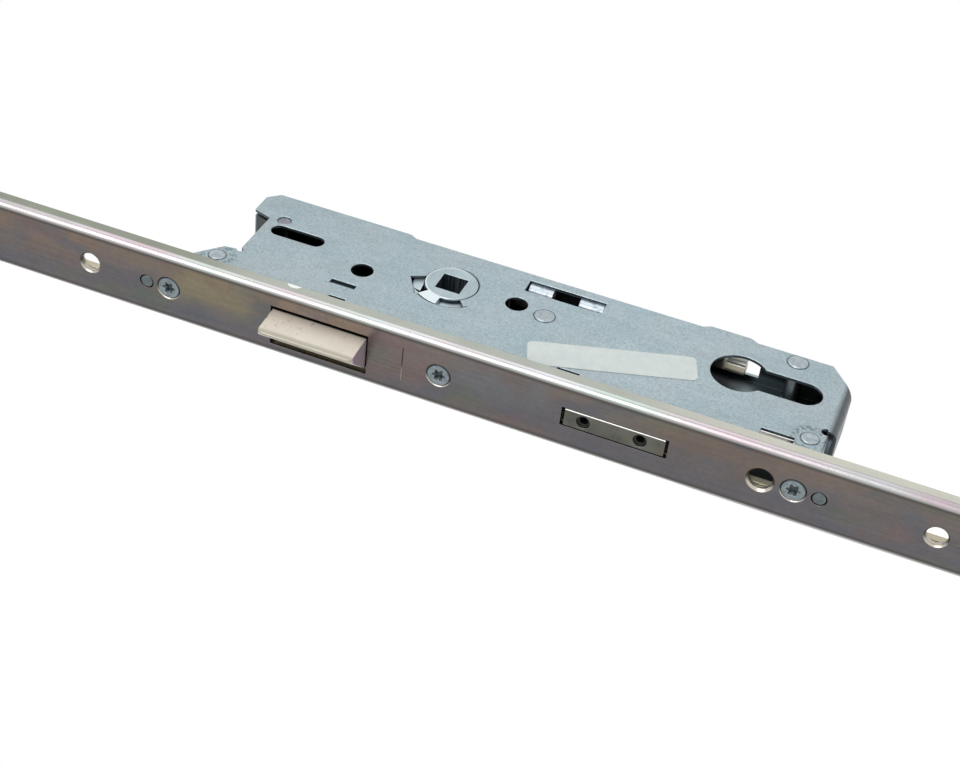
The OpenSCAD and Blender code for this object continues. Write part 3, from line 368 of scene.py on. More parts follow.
@dataclass(frozen=True)
class PassivatedRail:
    """Zinc-plated, chromate-passivated rail: a grey-brown film on the web, painted darker as a reflection of
    dark surroundings, and a painted highlight on the bend.
    """

    name: str = "passivated_zinc_rail"
    web: str = "#646164"
    web_edge: str = "#756a62"
    edge_shade: str = "#4d4744"
    bend: tuple[tuple[float, str], ...] = (
        (0.0, "#5d5c59"), (0.02, "#8f918f"), (0.07, "#b0b3b2"), (0.2, "#b6b8ba"),
        (0.5, "#b9babe"), (0.8, "#b4b5b8"), (1.0, "#a9aba9"),
    )
    bend_from: float = -35.0
    bend_to: float = -32.9
    flange_top: str = "#8f9487"
    flange: str = "#b0b4ab"
    flange_low: str = "#c9c8bd"
    hole_highlight: str = "#bab4a9"
    mottles: tuple[str, ...] = ("#5a5f69", "#63695c", "#74615e")
    sheens: tuple[str, ...] = ("#a3b1a8", "#b3a3a9")
    shaded: str = "#4a463c"
    worn: str = "#f0f3f1"
    glint_at: Triple = (-29.6, -12.0, 38.9)
    holes: tuple[tuple[float, float], ...] = ((-170.0, -90.0), (-30.0, 5.0), (60.0, 120.0))
    tints: tuple[FilmTint, ...] = (
        FilmTint(128.0, 26.0, "#7b6a5e", 0.6),
        FilmTint(62.0, 26.0, "#837b62", 0.8),
        FilmTint(0.0, 22.0, "#766b69", 0.7),
        FilmTint(-34.0, 22.0, "#6a6d71", 0.7),
        FilmTint(-92.0, 26.0, "#6f645c", 0.7),
        FilmTint(-146.0, 24.0, "#686260", 0.6),
    )

    def material(self) -> bpy.types.Material:
        """Builds the finish: tinted web with a painted reflection, painted highlight on the bend, flange,
        painted shade and highlight on the hole walls and a painted glint.

        Returns:
            The material.
        """
        # The web's base colour is its grey-brown film, painted darker as a reflection of dark surroundings
        s = Surface(self.name, self.web, 0.8)
        drift = s.patches(26.0, -9.0, 9.0, 1.0)
        along = add(s.tree, "ShaderNodeMath", {0: s.z, 1: drift}, operation="ADD").outputs[0]
        s.lay(self.web_edge, s.band(s.y, (1.0, -8.0)))
        for film in self.tints:
            soft = film.half * 0.7
            low, high = film.centre - film.half, film.centre + film.half
            stretch = s.band(along, (low, low + soft), (high - soft, high))
            s.lay(film.tint, stretch, s.band(s.y, (7.0, -3.0)), film.strength)
        # Interference colours of the film: bluish, greenish and reddish mottles about 12 mm across
        for step, mottle in enumerate(self.mottles):
            spread = s.patches(11.0 + 2.0 * step, 0.0, 1.0, 2.0, (1.0, 1.0, 0.6))
            s.lay(mottle, s.band(spread, (0.5, 0.95)), 0.55)
        # Drawing marks run along the rail: long thin streaks of 0.4 mm
        streak = s.patches(0.4, 0.92, 1.06, 1.0, (1.0, 1.0, 0.02))
        s.shade(streak)
        s.shade(s.patches(1.5, 0.95, 1.05))
        # Painted shade along the web next to its corners
        s.lay(self.edge_shade, s.band(s.depth, (8.7, 9.9)), 0.85)
        # Painted highlight on the rounded corner, with pastel tints; its place along the bend follows from X
        ramp = {0: s.x, 1: self.bend_from, 2: self.bend_to, 3: 0.0, 4: 1.0}
        bend = add(s.tree, "ShaderNodeValToRGB", {0: add(s.tree, "ShaderNodeMapRange", ramp).outputs[0]})
        stops = bend.color_ramp.elements
        for place, code in self.bend[1:-1]:
            stops.new(place).color = hex_rgb(code)
        stops[0].color, stops[len(stops) - 1].color = hex_rgb(self.bend[0][1]), hex_rgb(self.bend[-1][1])
        corner = s.band(s.depth, (9.86, 9.92))
        s.lay(bend.outputs[0], corner)
        for step, sheen in enumerate(self.sheens):
            s.lay(sheen, corner, s.band(s.x, (-34.98, -34.8)), s.patches(21.0 + 9.0 * step, 0.0, 0.9, 1.0))
        # Flange, brighter towards the lower end, with a finer grain
        side = (s.band(s.x, (-33.0, -32.8)), s.band(s.depth, (9.6, 9.8)))
        s.lay(self.flange, *side)
        s.lay(self.flange_top, s.band(s.z, (46.0, 76.0)), *side)
        s.lay(self.flange_low, s.band(s.z, (-50.0, -112.0)), *side)
        s.shade(s.patches(9.0, 0.96, 1.03))
        # Painted shade on the walls of the holes and openings, a painted highlight on the holes' side towards
        # the rear, and a half-moon painted glint on the flange's edge
        walls = (s.band(s.x, (-34.97, -34.9), (-33.07, -33.03)), s.band(s.depth, (9.5, 9.3)))
        s.lay(self.shaded, *walls)
        for low, high in self.holes:
            stretch = s.band(s.z, (low, low + 1.0), (high, high + 1.0))
            s.lay(self.hole_highlight, stretch, s.band(s.y, (0.0, 2.6)), *walls)
        # Painted glint: a near-white half-moon on the flange's edge
        spot = s.reach(self.glint_at, (1.8, 0.6, 2.4))
        s.lay(self.worn, s.band(spot, (1.0, 0.9)))
        return s.finish(s.patches(2.0, 0.24, 0.34, 2.0, (1.0, 1.0, 0.2)), streak, 0.004)


@dataclass(frozen=True)
class ZincPlate:
    """Bright zinc plate on turned steel: a cool grey with fine turning marks and worn high spots."""

    name: str = "bright_zinc_plate"
    base: str = "#b4bec2"
    dull: str = "#97a2a7"
    inside: str = "#6b7479"

    def surface(self) -> Surface:
        """Lays cloudy zinc with painted shade on the stretch inside the case.

        Returns:
            The material in the making.
        """
        s = Surface(self.name, self.base, 0.85)
        s.lay(self.dull, s.patches(1.6, 0.0, 1.0))
        # Painted shade on what lies inside the case
        s.lay(self.inside, s.band(s.depth, (6.4, 6.0)), s.band(s.x, (-30.0, -29.0)))
        return s

    def material(self) -> bpy.types.Material:
        """Builds the finish: the laid colours under a fine speckle.

        Returns:
            The material.
        """
        s = self.surface()
        grain = s.patches(0.25, 0.9, 1.08, 1.0)
        s.shade(grain)
        return s.finish(s.patches(1.2, 0.26, 0.4), grain, 0.003)


@dataclass(frozen=True)
class ScrewZinc(ZincPlate):
    """Dulled zinc plate of the case screws: a grey face with painted shade at its rim and in its drive
    recess.
    """

    name: str = "dulled_zinc_plate"
    base: str = "#8b969a"
    dull: str = "#747f84"
    crevice_shade: str = "#475053"
    heights: tuple[float, ...] = (78.7, -10.6, -118.3)
    rim: float = 3.45
    recess: float = 2.2

    def surface(self) -> Surface:
        """Adds painted shade at the rim and in the recess of each screw.

        Returns:
            The material in the making.
        """
        s = super().surface()
        for z in self.heights:
            out = s.reach((0.0, 0.0, z), (ENDLESS, 1.0, 1.0))
            # Painted shade at the rim and in the drive recess
            s.lay(self.crevice_shade, s.band(out, (self.rim - 0.2, self.rim)), s.band(out, (6.0, 5.0)))
            s.lay(self.crevice_shade, s.band(out, (self.recess, self.recess - 0.02)), s.band(s.x, (-34.84, -34.7)))
        return s


@dataclass(frozen=True)
class ZincCasting:
    """Die-cast zinc: a pale satin grey, finely pitted, with faint flow lines."""

    name: str = "die_cast_zinc"
    base: str = "#b4c3c8"
    flow: str = "#9fb0b5"
    flange: str = "#c3d0d5"
    rim: str = "#dde8ec"
    crevice_shade: str = "#2c343b"
    bore: str = "#1e2630"
    bore_half: float = 4.12

    def material(self) -> bpy.types.Material:
        """Builds the finish: flow lines and pits of the cast skin, and painted shade in the spindle bore.

        Returns:
            The material.
        """
        s = Surface(self.name, self.base, 0.7)
        s.lay(self.flow, s.patches(5.0, 0.0, 1.0, 3.0, (0.5, 1.0, 1.0)))
        pits = s.patches(0.3, 0.88, 1.06, 1.0)
        s.shade(pits)
        # Painted light on the flange's face, and painted shade in the corner between journal and flange and
        # along the flange's rim
        out = s.reach((0.0, 0.0, 0.0), (1.0, ENDLESS, 1.0))
        below = s.band(s.y, (-7.2, -7.0))
        s.lay(self.flange, s.band(out, (8.6, 8.9)), below)
        s.lay(self.crevice_shade, s.band(out, (8.0, 8.2), (8.3, 8.9)), below)
        s.lay(self.crevice_shade, s.band(out, (11.5, 12.1), (12.6, 12.8)), below)
        # Painted highlight on the journal's rim, on one side
        s.lay(self.rim, s.band(out, (7.75, 7.95)), s.band(s.y, (-7.3, -7.4)), s.band(s.z, (-5.0, -1.0)))
        # Painted shade in the spindle bore, with streaks along it
        edge = (self.bore_half, self.bore_half - 0.06)
        bore = [s.band(s.depth, (7.5, 7.3)), s.patches(0.5, 0.75, 1.0, 1.0, (1.0, 0.05, 1.0))]
        for way in (s.x, s.z):
            off = add(s.tree, "ShaderNodeMath", {0: way}, operation="ABSOLUTE").outputs[0]
            bore.append(s.band(off, edge))
        s.lay(self.bore, *bore)
        return s.finish(s.patches(2.0, 0.32, 0.44), pits, 0.006)


@dataclass(frozen=True)
class NickelPlate:
    """Nickel-plated latch: a warm beige-grey, satin, with faint scratches and rubbed specks."""

    name: str = "nickel_plated_zinc"
    base: str = "#d6d0c4"
    worn: str = "#cbc4b7"
    rubbed: str = "#8d8577"
    nose_shade: str = "#aaa598"
    shadow: str = "#161412"
    end: str = "#c0b0ba"

    def material(self) -> bpy.types.Material:
        """Builds the finish: soft clouds with scratches of 0.15 mm along the travel.

        Returns:
            The material.
        """
        s = Surface(self.name, self.base, 0.6)
        s.lay(self.worn, s.patches(7.0, 0.0, 1.0))
        scratch = s.patches(0.15, 0.97, 1.02, 1.0, (0.04, 1.0, 1.0))
        s.shade(scratch)
        # Dull specks where the strike has rubbed the plating
        s.lay(self.rubbed, s.band(s.patches(0.9, 0.0, 1.0, 3.0, (0.4, 1.0, 1.0)), (0.8, 1.0)), 0.6)
        # Painted shade on the nose, a painted reflection of the rail's film on the lower end,
        # and a painted shadow where the bolt enters the rail
        s.lay(self.nose_shade, s.band(s.x, (-43.8, -45.2)))
        s.lay(self.end, s.band(s.z, (12.95, 12.7)))
        s.lay(self.shadow, s.band(s.x, (-35.4, -35.1)))
        return s.finish(s.patches(3.0, 0.34, 0.44), scratch, 0.001)


@dataclass(frozen=True)
class PassivatedSteel:
    """Yellow-passivated steel: a pale straw film with a faint iridescent drift, with painted shade inside the
    case.
    """

    name: str = "yellow_passivated_steel"
    base: str = "#c7bfa6"
    film: str = "#b5ad98"
    inside_shade: str = "#33312c"
    foot: str = "#b3ab98"
    foot_highlight: str = "#f0f0e6"
    foot_shade: str = "#4b4a44"

    def material(self) -> bpy.types.Material:
        """Builds the finish: film colours that drift over 7 mm and rolling marks.

        Returns:
            The material.
        """
        s = Surface(self.name, self.base, 0.75)
        s.lay(self.film, s.patches(7.0, 0.0, 1.0, 3.0))
        # Painted shade on what lies inside the case
        s.lay(self.inside_shade, s.band(s.x, (-29.8, -28.0)), s.patches(9.0, 0.8, 1.0))
        # Painted light on the change bar's foot seen through the cut-out, a painted highlight along its edge
        # towards the cover and painted shade on its side towards the rear
        foot = (s.band(s.x, (9.0, 9.5)), s.band(s.z, (-84.6, -86.4)))
        s.lay(self.foot, *foot)
        s.lay(self.foot_highlight, s.band(s.y, (-0.9, -1.3)), *foot)
        s.lay(self.foot_shade, s.band(s.y, (0.2, 0.9)), *foot)
        marks = s.patches(0.35, 0.93, 1.05, 1.0, (1.0, 1.0, 0.05))
        s.shade(marks)
        return s.finish(s.patches(2.5, 0.3, 0.42), marks, 0.003)


@dataclass(frozen=True)
class SpringSteel:
    """Drawn spring wire: a dark oily grey with drawing streaks."""

    name: str = "spring_steel_wire"
    base: str = "#84888a"
    oil: str = "#6b6d6c"

    def material(self) -> bpy.types.Material:
        """Builds the finish: oil patches of 1.2 mm.

        Returns:
            The material.
        """
        s = Surface(self.name, self.base, 0.9)
        s.lay(self.oil, s.patches(1.2, 0.0, 1.0))
        streak = s.patches(0.2, 0.94, 1.05, 1.0)
        s.shade(streak)
        return s.finish(s.patches(1.0, 0.24, 0.36), streak, 0.002)


@dataclass(frozen=True)
class GroundSteel:
    """Ground and oiled bolt steel: a dark neutral grey with fine grinding lines and painted shade, near
    black, in the sinks.
    """

    name: str = "ground_bolt_steel"
    base: str = "#53534e"
    light: str = "#6f6f68"
    rust: str = "#6b6355"
    edge: str = "#e6e6e0"
    sink_shade: str = "#2b2b29"
    sinks: tuple[float, ...] = (-55.8, -73.0)

    def material(self) -> bpy.types.Material:
        """Builds the finish: grinding lines of 0.25 mm across the bolt and painted shade in the sinks.

        Returns:
            The material.
        """
        s = Surface(self.name, self.base, 0.8)
        s.lay(self.light, s.patches(6.0, 0.0, 1.0, 3.0))
        s.lay(self.rust, s.band(s.patches(3.5, 0.0, 1.0, 3.0), (0.55, 0.9)), 0.6)
        lines = s.patches(0.25, 0.9, 1.08, 1.0, (0.05, 1.0, 1.0))
        s.shade(lines)
        # Painted highlight along the edge towards the cover
        s.lay(self.edge, s.band(s.y, (-2.62, -2.78)), s.band(s.x, (-34.5, -34.66)))
        # Painted shade in the sinks of the hard pins
        for z in self.sinks:
            out = s.reach((0.0, 0.0, z), (ENDLESS, 1.0, 1.0))
            s.lay(self.sink_shade, s.band(out, (2.2, 2.0)), s.band(s.x, (-34.9, -34.6)))
        return s.finish(s.patches(3.0, 0.28, 0.4), lines, 0.003)


@dataclass(frozen=True)
class LabelFilm:
    """White polyester label film: a slightly cool satin white, faintly mottled by its adhesive."""

    name: str = "polyester_label_film"
    base: str = "#cfd7d4"
    cool: str = "#c5cecd"

    def material(self) -> bpy.types.Material:
        """Builds the finish: adhesive mottling of 4 mm and a fine film grain.

        Returns:
            The material.
        """
        s = Surface(self.name, self.base, 0.0, IOR=1.45)
        s.lay(self.cool, s.patches(4.0, 0.0, 1.0))
        s.shade(s.patches(0.4, 0.975, 1.015, 1.0))
        return s.finish(s.patches(5.0, 0.34, 0.44), s.patches(6.0, 0.0, 1.0), 0.03)


class Workshop:
    """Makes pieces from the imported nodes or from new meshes, and gives each its body, slot and finish."""

    def __init__(self) -> None:
        """Makes one material for each slot of the record."""
        self.finishes: dict[Slot, bpy.types.Material] = {
            Slot.SHEET: GalvanisedSheet().material(),
            Slot.RAIL: PassivatedRail().material(),
            Slot.FIXINGS: ZincPlate().material(),
            Slot.CASTING: ZincCasting().material(),
            Slot.LABEL: LabelFilm().material(),
            Slot.NICKEL: NickelPlate().material(),
            Slot.PASSIVATED: PassivatedSteel().material(),
            Slot.SPRING: SpringSteel().material(),
            Slot.BOLT: GroundSteel().material(),
        }

    def piece(
        self,
        bm: bmesh.types.BMesh,
        name: str,
        body: str,
        slot: Slot,
        *nodes: str,
        finish: ZincPlate | None = None,
    ) -> bpy.types.Object:
        """Turns a mesh into a piece that rides on a body.

        Args:
            bm: Mesh in the row frame, in metres; it is freed.
            name: Name of the piece.
            body: Body that carries it.
            slot: Material slot whose finish it takes.
            *nodes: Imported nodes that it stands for.
            finish: Finish that takes the place of the slot's own.

        Returns:
            The piece's object.
        """
        mesh = bpy.data.meshes.new(name)
        bm.to_mesh(mesh)
        bm.free()
        mesh.polygons.foreach_set("use_smooth", [True] * len(mesh.polygons))
        mesh.materials.append(finish.material() if finish else self.finishes[slot])
        made = bpy.data.objects.new(name, mesh)
        bpy.context.scene.collection.objects.link(made)
        weights = made.modifiers.new("even_normals", "WEIGHTED_NORMAL")
        weights.keep_sharp = False
        weights.weight = 100
        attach(made, body)
        if nodes:
            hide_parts(*nodes)
        LOG.info("%s: %d faces on %s", name, len(mesh.polygons), body)
        return made

    def soften(
        self,
        node: str,
        edge: float,
        finish: ZincPlate | None = None,
    ) -> bpy.types.Object:
        """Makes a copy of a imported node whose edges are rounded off.

        Args:
            node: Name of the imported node.
            edge: Width of the rounding in millimetres.
            finish: Finish that takes the place of the slot's own.

        Returns:
            The piece that stands for the node.
        """
        bm = bmesh.new()
        bm.from_mesh(frame["nodes"][node].data)
        bmesh.ops.remove_doubles(bm, verts=bm.verts, dist=MERGE)
        bmesh.ops.recalc_face_normals(bm, faces=bm.faces)
        bmesh.ops.dissolve_limit(bm, angle_limit=math.radians(0.4), verts=bm.verts, edges=bm.edges)
        corners = [e for e in bm.edges if len(e.link_faces) == 2 and e.calc_face_angle() > SHARP]
        bmesh.ops.bevel(bm, geom=corners, offset=edge * MM, offset_type="OFFSET", affect="EDGES", segments=2,
                        profile=0.5, material=-1, clamp_overlap=False, loop_slide=False)
        return self.piece(bm, f"{node}_dressed", NODE_BODY[node], NODE_SLOT[node], node, finish=finish)


def lathe(outline: list[tuple[float, float]], centre: Vector, axis: Vector, steps: int) -> bmesh.types.BMesh:
    """Spins an outline round an axis into a closed body.

    Args:
        outline: Radius and place along the axis of each point, in millimetres.
        centre: Point of the axis, in millimetres.
        axis: Unit direction of the axis.
        steps: Facets round the axis.

    Returns:
        The new mesh, in metres.
    """
    bm = bmesh.new()
    across = axis.orthogonal().normalized()
    row = [bm.verts.new((centre + across * r + axis * a) * MM) for r, a in outline]
    edges = [bm.edges.new(pair) for pair in zip(row, row[1:])]
    bmesh.ops.spin(bm, geom=row + edges, cent=centre * MM, axis=axis, angle=2 * math.pi, steps=steps,
                   use_merge=True)
    bmesh.ops.remove_doubles(bm, verts=bm.verts, dist=MERGE)
    bmesh.ops.recalc_face_normals(bm, faces=bm.faces)
    return bm


def join(meshes: list[bmesh.types.BMesh]) -> bmesh.types.BMesh:
    """Gathers several meshes into one and frees them.

    Args:
        meshes: Meshes to gather.

    Returns:
        One mesh with all their faces.
    """
    whole = bmesh.new()
    for bm in meshes:
        scrap = bpy.data.meshes.new("scrap")
        bm.to_mesh(scrap)
        bm.free()
        whole.from_mesh(scrap)
        bpy.data.meshes.remove(scrap)
    return whole


@dataclass
class FaceplateRail:
    """The U-section rail with its case screws and flush rivets."""

    edge: float = 0.12
    front: float = -35.0
    screw_heights: tuple[float, ...] = (78.7, -10.6, -118.3)
    head_r: float = 3.72
    head_sunk: float = 0.1
    shank_r: float = 2.0
    screw_len: float = 11.0
    star_r: float = 2.15
    star_depth: float = 1.45
    rivet_heights: tuple[float, ...] = (86.2, -125.8)
    rivet_r: float = 2.3
    rivet_face_r: float = 1.95
    rivet_end: float = -26.6
    screw_finish: ZincPlate = ScrewZinc()
    rivet_finish: ZincPlate = ZincPlate("oiled_zinc_plate", "#6c7577", "#5b6466")

    def screw(self, z: float) -> bmesh.types.BMesh:
        """One countersunk screw with a six-lobed recess.

        Args:
            z: Height of the screw in millimetres.

        Returns:
            Mesh of the screw.
        """
        bm = bmesh.new()
        bmesh.ops.create_circle(bm, cap_ends=True, segments=48, radius=self.star_r * MM)
        sunk = self.head_sunk
        rows = (
            (self.star_r * 0.88, 0.2, self.star_depth),
            (self.star_r, 0.2, sunk + 0.12),
            (self.star_r + 0.12, 0.17, sunk),
            (self.head_r - 0.5, 0.0, sunk),
            (self.head_r - 0.14, 0.0, sunk + 0.06),
            (self.head_r, 0.0, sunk + 0.22),
            (self.shank_r, 0.0, sunk + self.head_r - self.shank_r + 0.24),
            (self.shank_r, 0.0, self.screw_len - 0.4),
            (self.shank_r - 0.4, 0.0, self.screw_len),
        )
        ring = list(bm.verts)
        for i, (radius, lobes, depth) in enumerate(rows):
            if i:
                ring_edges = [e for e in bm.edges if e.verts[0] in ring and e.verts[1] in ring]
                grown = bmesh.ops.extrude_edge_only(bm, edges=ring_edges)
                ring = [v for v in grown["geom"] if isinstance(v, bmesh.types.BMVert)]
            for v in ring:
                turn = math.atan2(v.co.y, v.co.x)
                reach = radius * (1.0 - lobes + lobes * math.cos(6 * turn)) * MM
                v.co = Vector((reach * math.cos(turn), reach * math.sin(turn), -depth * MM))
        bmesh.ops.holes_fill(bm, edges=bm.edges, sides=0)
        bmesh.ops.recalc_face_normals(bm, faces=bm.faces)
        stand = Matrix.Translation((self.front * MM, 0.0, z * MM)) @ Matrix.Rotation(-math.pi / 2, 4, "Y")
        bmesh.ops.transform(bm, matrix=stand, verts=bm.verts)
        return bm

    def rivet(self, z: float) -> bmesh.types.BMesh:
        """One flush rivet with a slightly dished end and a soft rim.

        Args:
            z: Height of the rivet in millimetres.

        Returns:
            Mesh of the rivet.
        """
        length = self.rivet_end - self.front
        face = self.rivet_face_r
        outline = [(0.0, 0.14), (face * 0.6, 0.11), (face - 0.16, 0.05), (face, 0.14), (face + 0.04, 0.5),
                   (self.rivet_r, 0.62), (self.rivet_r, length - 0.3), (self.rivet_r - 0.3, length),
                   (0.0, length)]
        return lathe(outline, Vector((self.front, 0.0, z)), Vector((1.0, 0.0, 0.0)), 40)

    def build(self, shop: Workshop) -> None:
        """Makes the rail, the screws and the rivets.

        Args:
            shop: Workshop that makes the pieces.
        """
        shop.soften("faceplate_rail", self.edge)
        screws = join([self.screw(z) for z in self.screw_heights])
        shop.piece(screws, "case_screws_dressed", "case", Slot.FIXINGS, "case_screws",
                   finish=self.screw_finish)
        rivets = join([self.rivet(z) for z in self.rivet_heights])
        shop.piece(rivets, "flush_rivets_dressed", "case", Slot.FIXINGS, "flush_rivets",
                   finish=self.rivet_finish)


@dataclass
class LockCase:
    """Cover, rear shell, posts, fixing blocks and the label."""

    edge: float = 0.14
    cover_edge: float = 0.24
    face: float = 7.6
    inner: float = 6.4
    head_r: float = 3.1
    tab_head_r: float = 2.6
    head_h: float = 0.3
    post_r: float = 2.2
    shoulder_r: float = 2.6
    posts: tuple[tuple[float, float], ...] = ((-1.9, -31.1), (13.6, -106.6))
    flush_post: tuple[float, float] = (5.6, 59.8)
    tab_rivets: tuple[tuple[float, float], ...] = ((-21.6, 69.2), (-19.8, -118.0))
    flush_finish: ZincPlate = ZincPlate("phosphated_steel", "#91929c", "#7f808a", "#1d2022")
    # Oiled steel for the parts inside the case, painted darker still as painted shade
    inner_finish: ZincPlate = ZincPlate("shaded_oiled_steel", "#4a5052", "#3a4042", "#24292b")
    lance_at: Triple = (-16.6, -7.05, 29.1)
    lance_size: tuple[float, float] = (2.6, 8.2)
    lance_drop: float = 22.0
    lance_t: float = 0.3
    dish: float = 0.06
    tab_dish: float = 0.16
    block_edge: float = 0.2
    fine: float = 0.12
    label_edge: float = 0.05
    blocks: tuple[str, ...] = ("upper_fixing_block", "middle_fixing_block", "lower_fixing_block")
    inside: tuple[str, ...] = ("gear_arbor", "spring_stop", "bar_guide_pins", "lever_pivot")

    def head(self, side: Side, radius: float, dish: float) -> list[tuple[float, float]]:
        """Outline of one riveted head, from its centre to the shank.

        Args:
            side: Face of the case on which the head lies.
            radius: Radius of the head.
            dish: Depth of the hollow in the head.

        Returns:
            Radius and Y of each point.
        """
        out = self.face + self.head_h
        rows = [(0.0, out - dish), (radius * 0.42, out - dish * 0.9), (radius * 0.66, out - 0.02),
                (radius * 0.84, out), (radius * 0.96, out - 0.08), (radius, out - 0.2),
                (radius, self.face - 0.02), (self.post_r, self.face - 0.04)]
        return [(r, side.value * y) for r, y in rows]

    def collar(self) -> list[tuple[float, float]]:
        """Outline of the collar by which a post stands on the rear plate.

        Returns:
            Radius and Y of each point.
        """
        low = self.inner - 1.2
        radii = (self.post_r, self.shoulder_r, self.shoulder_r, self.post_r)
        return list(zip(radii, (low, low, self.inner, self.inner)))

    def stand(self, outline: list[tuple[float, float]], at: tuple[float, float]) -> bmesh.types.BMesh:
        """Spins a post's outline round its axis at an X and Z."""
        return lathe(outline, Vector((at[0], 0.0, at[1])), Vector((0.0, 1.0, 0.0)), 48)

    def post(self, at: tuple[float, float], radius: float, dish: float) -> bmesh.types.BMesh:
        """One post or rivet through both plates, with a head at each end.

        Args:
            at: X and Z of its axis.
            radius: Radius of its heads.
            dish: Depth of the hollow in its heads.

        Returns:
            Mesh of the post.
        """
        outline = self.head(Side.COVER, radius, dish)
        if radius == self.head_r:
            outline += self.collar()
        outline += list(reversed(self.head(Side.REAR, radius, dish)))
        return self.stand(outline, at)

    def flush_outline(self) -> list[tuple[float, float]]:
        """Outline of the post that ends without heads, from the cover to the rear plate.

        Returns:
            Radius and Y of each point.
        """
        near, soft = self.head_h - self.face, self.post_r - 0.2
        front = [(0.0, near + 0.1), (1.2, near + 0.04), (soft, near), (self.post_r, near + 0.2)]
        back = [(self.post_r, self.face - 0.2), (soft, self.face), (0.0, self.face)]
        return front + self.collar() + back

    def lance(self) -> bmesh.types.BMesh:
        """Strip of the cover that is sheared along one side of the lanced slot and pressed in there.

        Returns:
            Mesh of the strip.
        """
        bm = bmesh.new()
        bmesh.ops.create_grid(bm, x_segments=6, y_segments=10, size=0.5)
        bmesh.ops.scale(bm, vec=(self.lance_size[0], self.lance_size[1], 1.0), verts=bm.verts)
        turn = Matrix.Rotation(math.radians(self.lance_drop), 4, "Z") @ Matrix.Rotation(math.pi / 2, 4, "X")
        bmesh.ops.transform(bm, matrix=Matrix.Translation(Vector(self.lance_at)) @ turn, verts=bm.verts)
        bmesh.ops.solidify(bm, geom=list(bm.faces), thickness=self.lance_t)
        bmesh.ops.recalc_face_normals(bm, faces=bm.faces)
        bmesh.ops.scale(bm, vec=(MM, MM, MM), verts=bm.verts)
        return bm

    def build(self, shop: Workshop) -> None:
        """Makes the plates, the posts with their heads, the blocks and the label.

        Args:
            shop: Workshop that makes the pieces.
        """
        shop.soften("cover_plate", self.cover_edge)
        shop.soften("rear_case_shell", self.edge)
        heads = [self.post(at, self.head_r, self.dish) for at in self.posts]
        heads += [self.post(at, self.tab_head_r, self.tab_dish) for at in self.tab_rivets]
        shop.piece(join(heads), "spacing_posts_dressed", "case", Slot.FIXINGS, "spacing_posts")
        shop.piece(self.stand(self.flush_outline(), self.flush_post), "flush_post", "case", Slot.FIXINGS,
                   finish=self.flush_finish)
        shop.piece(self.lance(), "pressed_lance", "case", Slot.SHEET)
        for node in self.blocks:
            shop.soften(node, self.block_edge)
        for node in self.inside:
            shop.soften(node, self.fine, finish=self.inner_finish)
        shop.soften("blank_label", self.label_edge)


@dataclass
class LatchTrain:
    """Latch bolt, tail, spring and the guide pin."""

    edge: float = 0.3
    fine: float = 0.12
    spring_from: float = -19.49
    spring_to: float = 3.49
    spring_z: float = 16.6
    coil_r: float = 2.75
    wire_r: float = 0.45
    turns: int = 8
    steps_per_turn: int = 24
    travel: float = 11.2

    def spring(self) -> bmesh.types.BMesh:
        """The wound spring between the latch block and its stop.

        Returns:
            Mesh of the spring.
        """
        bm = bmesh.new()
        steps = self.turns * self.steps_per_turn
        stand = Matrix.Translation((self.spring_from * MM, self.coil_r * MM, self.spring_z * MM))
        bmesh.ops.create_circle(bm, cap_ends=True, segments=10, radius=self.wire_r * MM, matrix=stand)
        rise = (self.spring_to - self.spring_from) / steps
        bmesh.ops.spin(bm, geom=list(bm.verts) + list(bm.edges) + list(bm.faces),
                       cent=(0.0, 0.0, self.spring_z * MM), axis=(1.0, 0.0, 0.0),
                       angle=2 * math.pi * self.turns, steps=steps, dvec=(rise * MM, 0.0, 0.0))
        bmesh.ops.recalc_face_normals(bm, faces=bm.faces)
        return bm

    def build(self, shop: Workshop) -> None:
        """Makes the latch and the spring.

        Args:
            shop: Workshop that makes the pieces.
        """
        shop.soften("latch_bolt", self.edge)
        for node in ("latch_tail", "latch_tail_rivet", "latch_spring_guide"):
            shop.soften(node, self.fine)
        coil = shop.piece(self.spring(), "latch_spring_dressed", "case", Slot.SPRING, "latch_spring")
        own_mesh(coil)


@dataclass
class HubTrain:
    """Spindle hub, latch lever and change bar."""

    edge: float = 0.15

    def build(self, shop: Workshop) -> None:
        """Makes the hub and what it moves.

        Args:
            shop: Workshop that makes the pieces.
        """
        for node in ("spindle_hub", "latch_lever", "change_bar"):
            shop.soften(node, self.edge)


@dataclass
class BoltTrain:
    """Drive rod, slide, gear and deadbolt."""

    edge: float = 0.15
    bolt_edge: float = 0.28
    fine: float = 0.08

    def build(self, shop: Workshop) -> None:
        """Makes the rod, the slide, the gear wheels and the bolt with its pins.

        Args:
            shop: Workshop that makes the pieces.
        """
        shop.soften("deadbolt", self.bolt_edge)
        for node in ("drive_rod", "lock_slide"):
            shop.soften(node, self.edge)
        for node in ("deadbolt_drive_pin", "deadbolt_hard_pins", "rack_gear", "cam_wheel", "gear_rivets"):
            shop.soften(node, self.fine)


@dataclass(frozen=True)
class Lamp:
    """A square soft lamp: direction from the lock, distance and side in metres, power in watts."""

    name: str
    towards: Triple
    reach: float
    size: float
    power: float


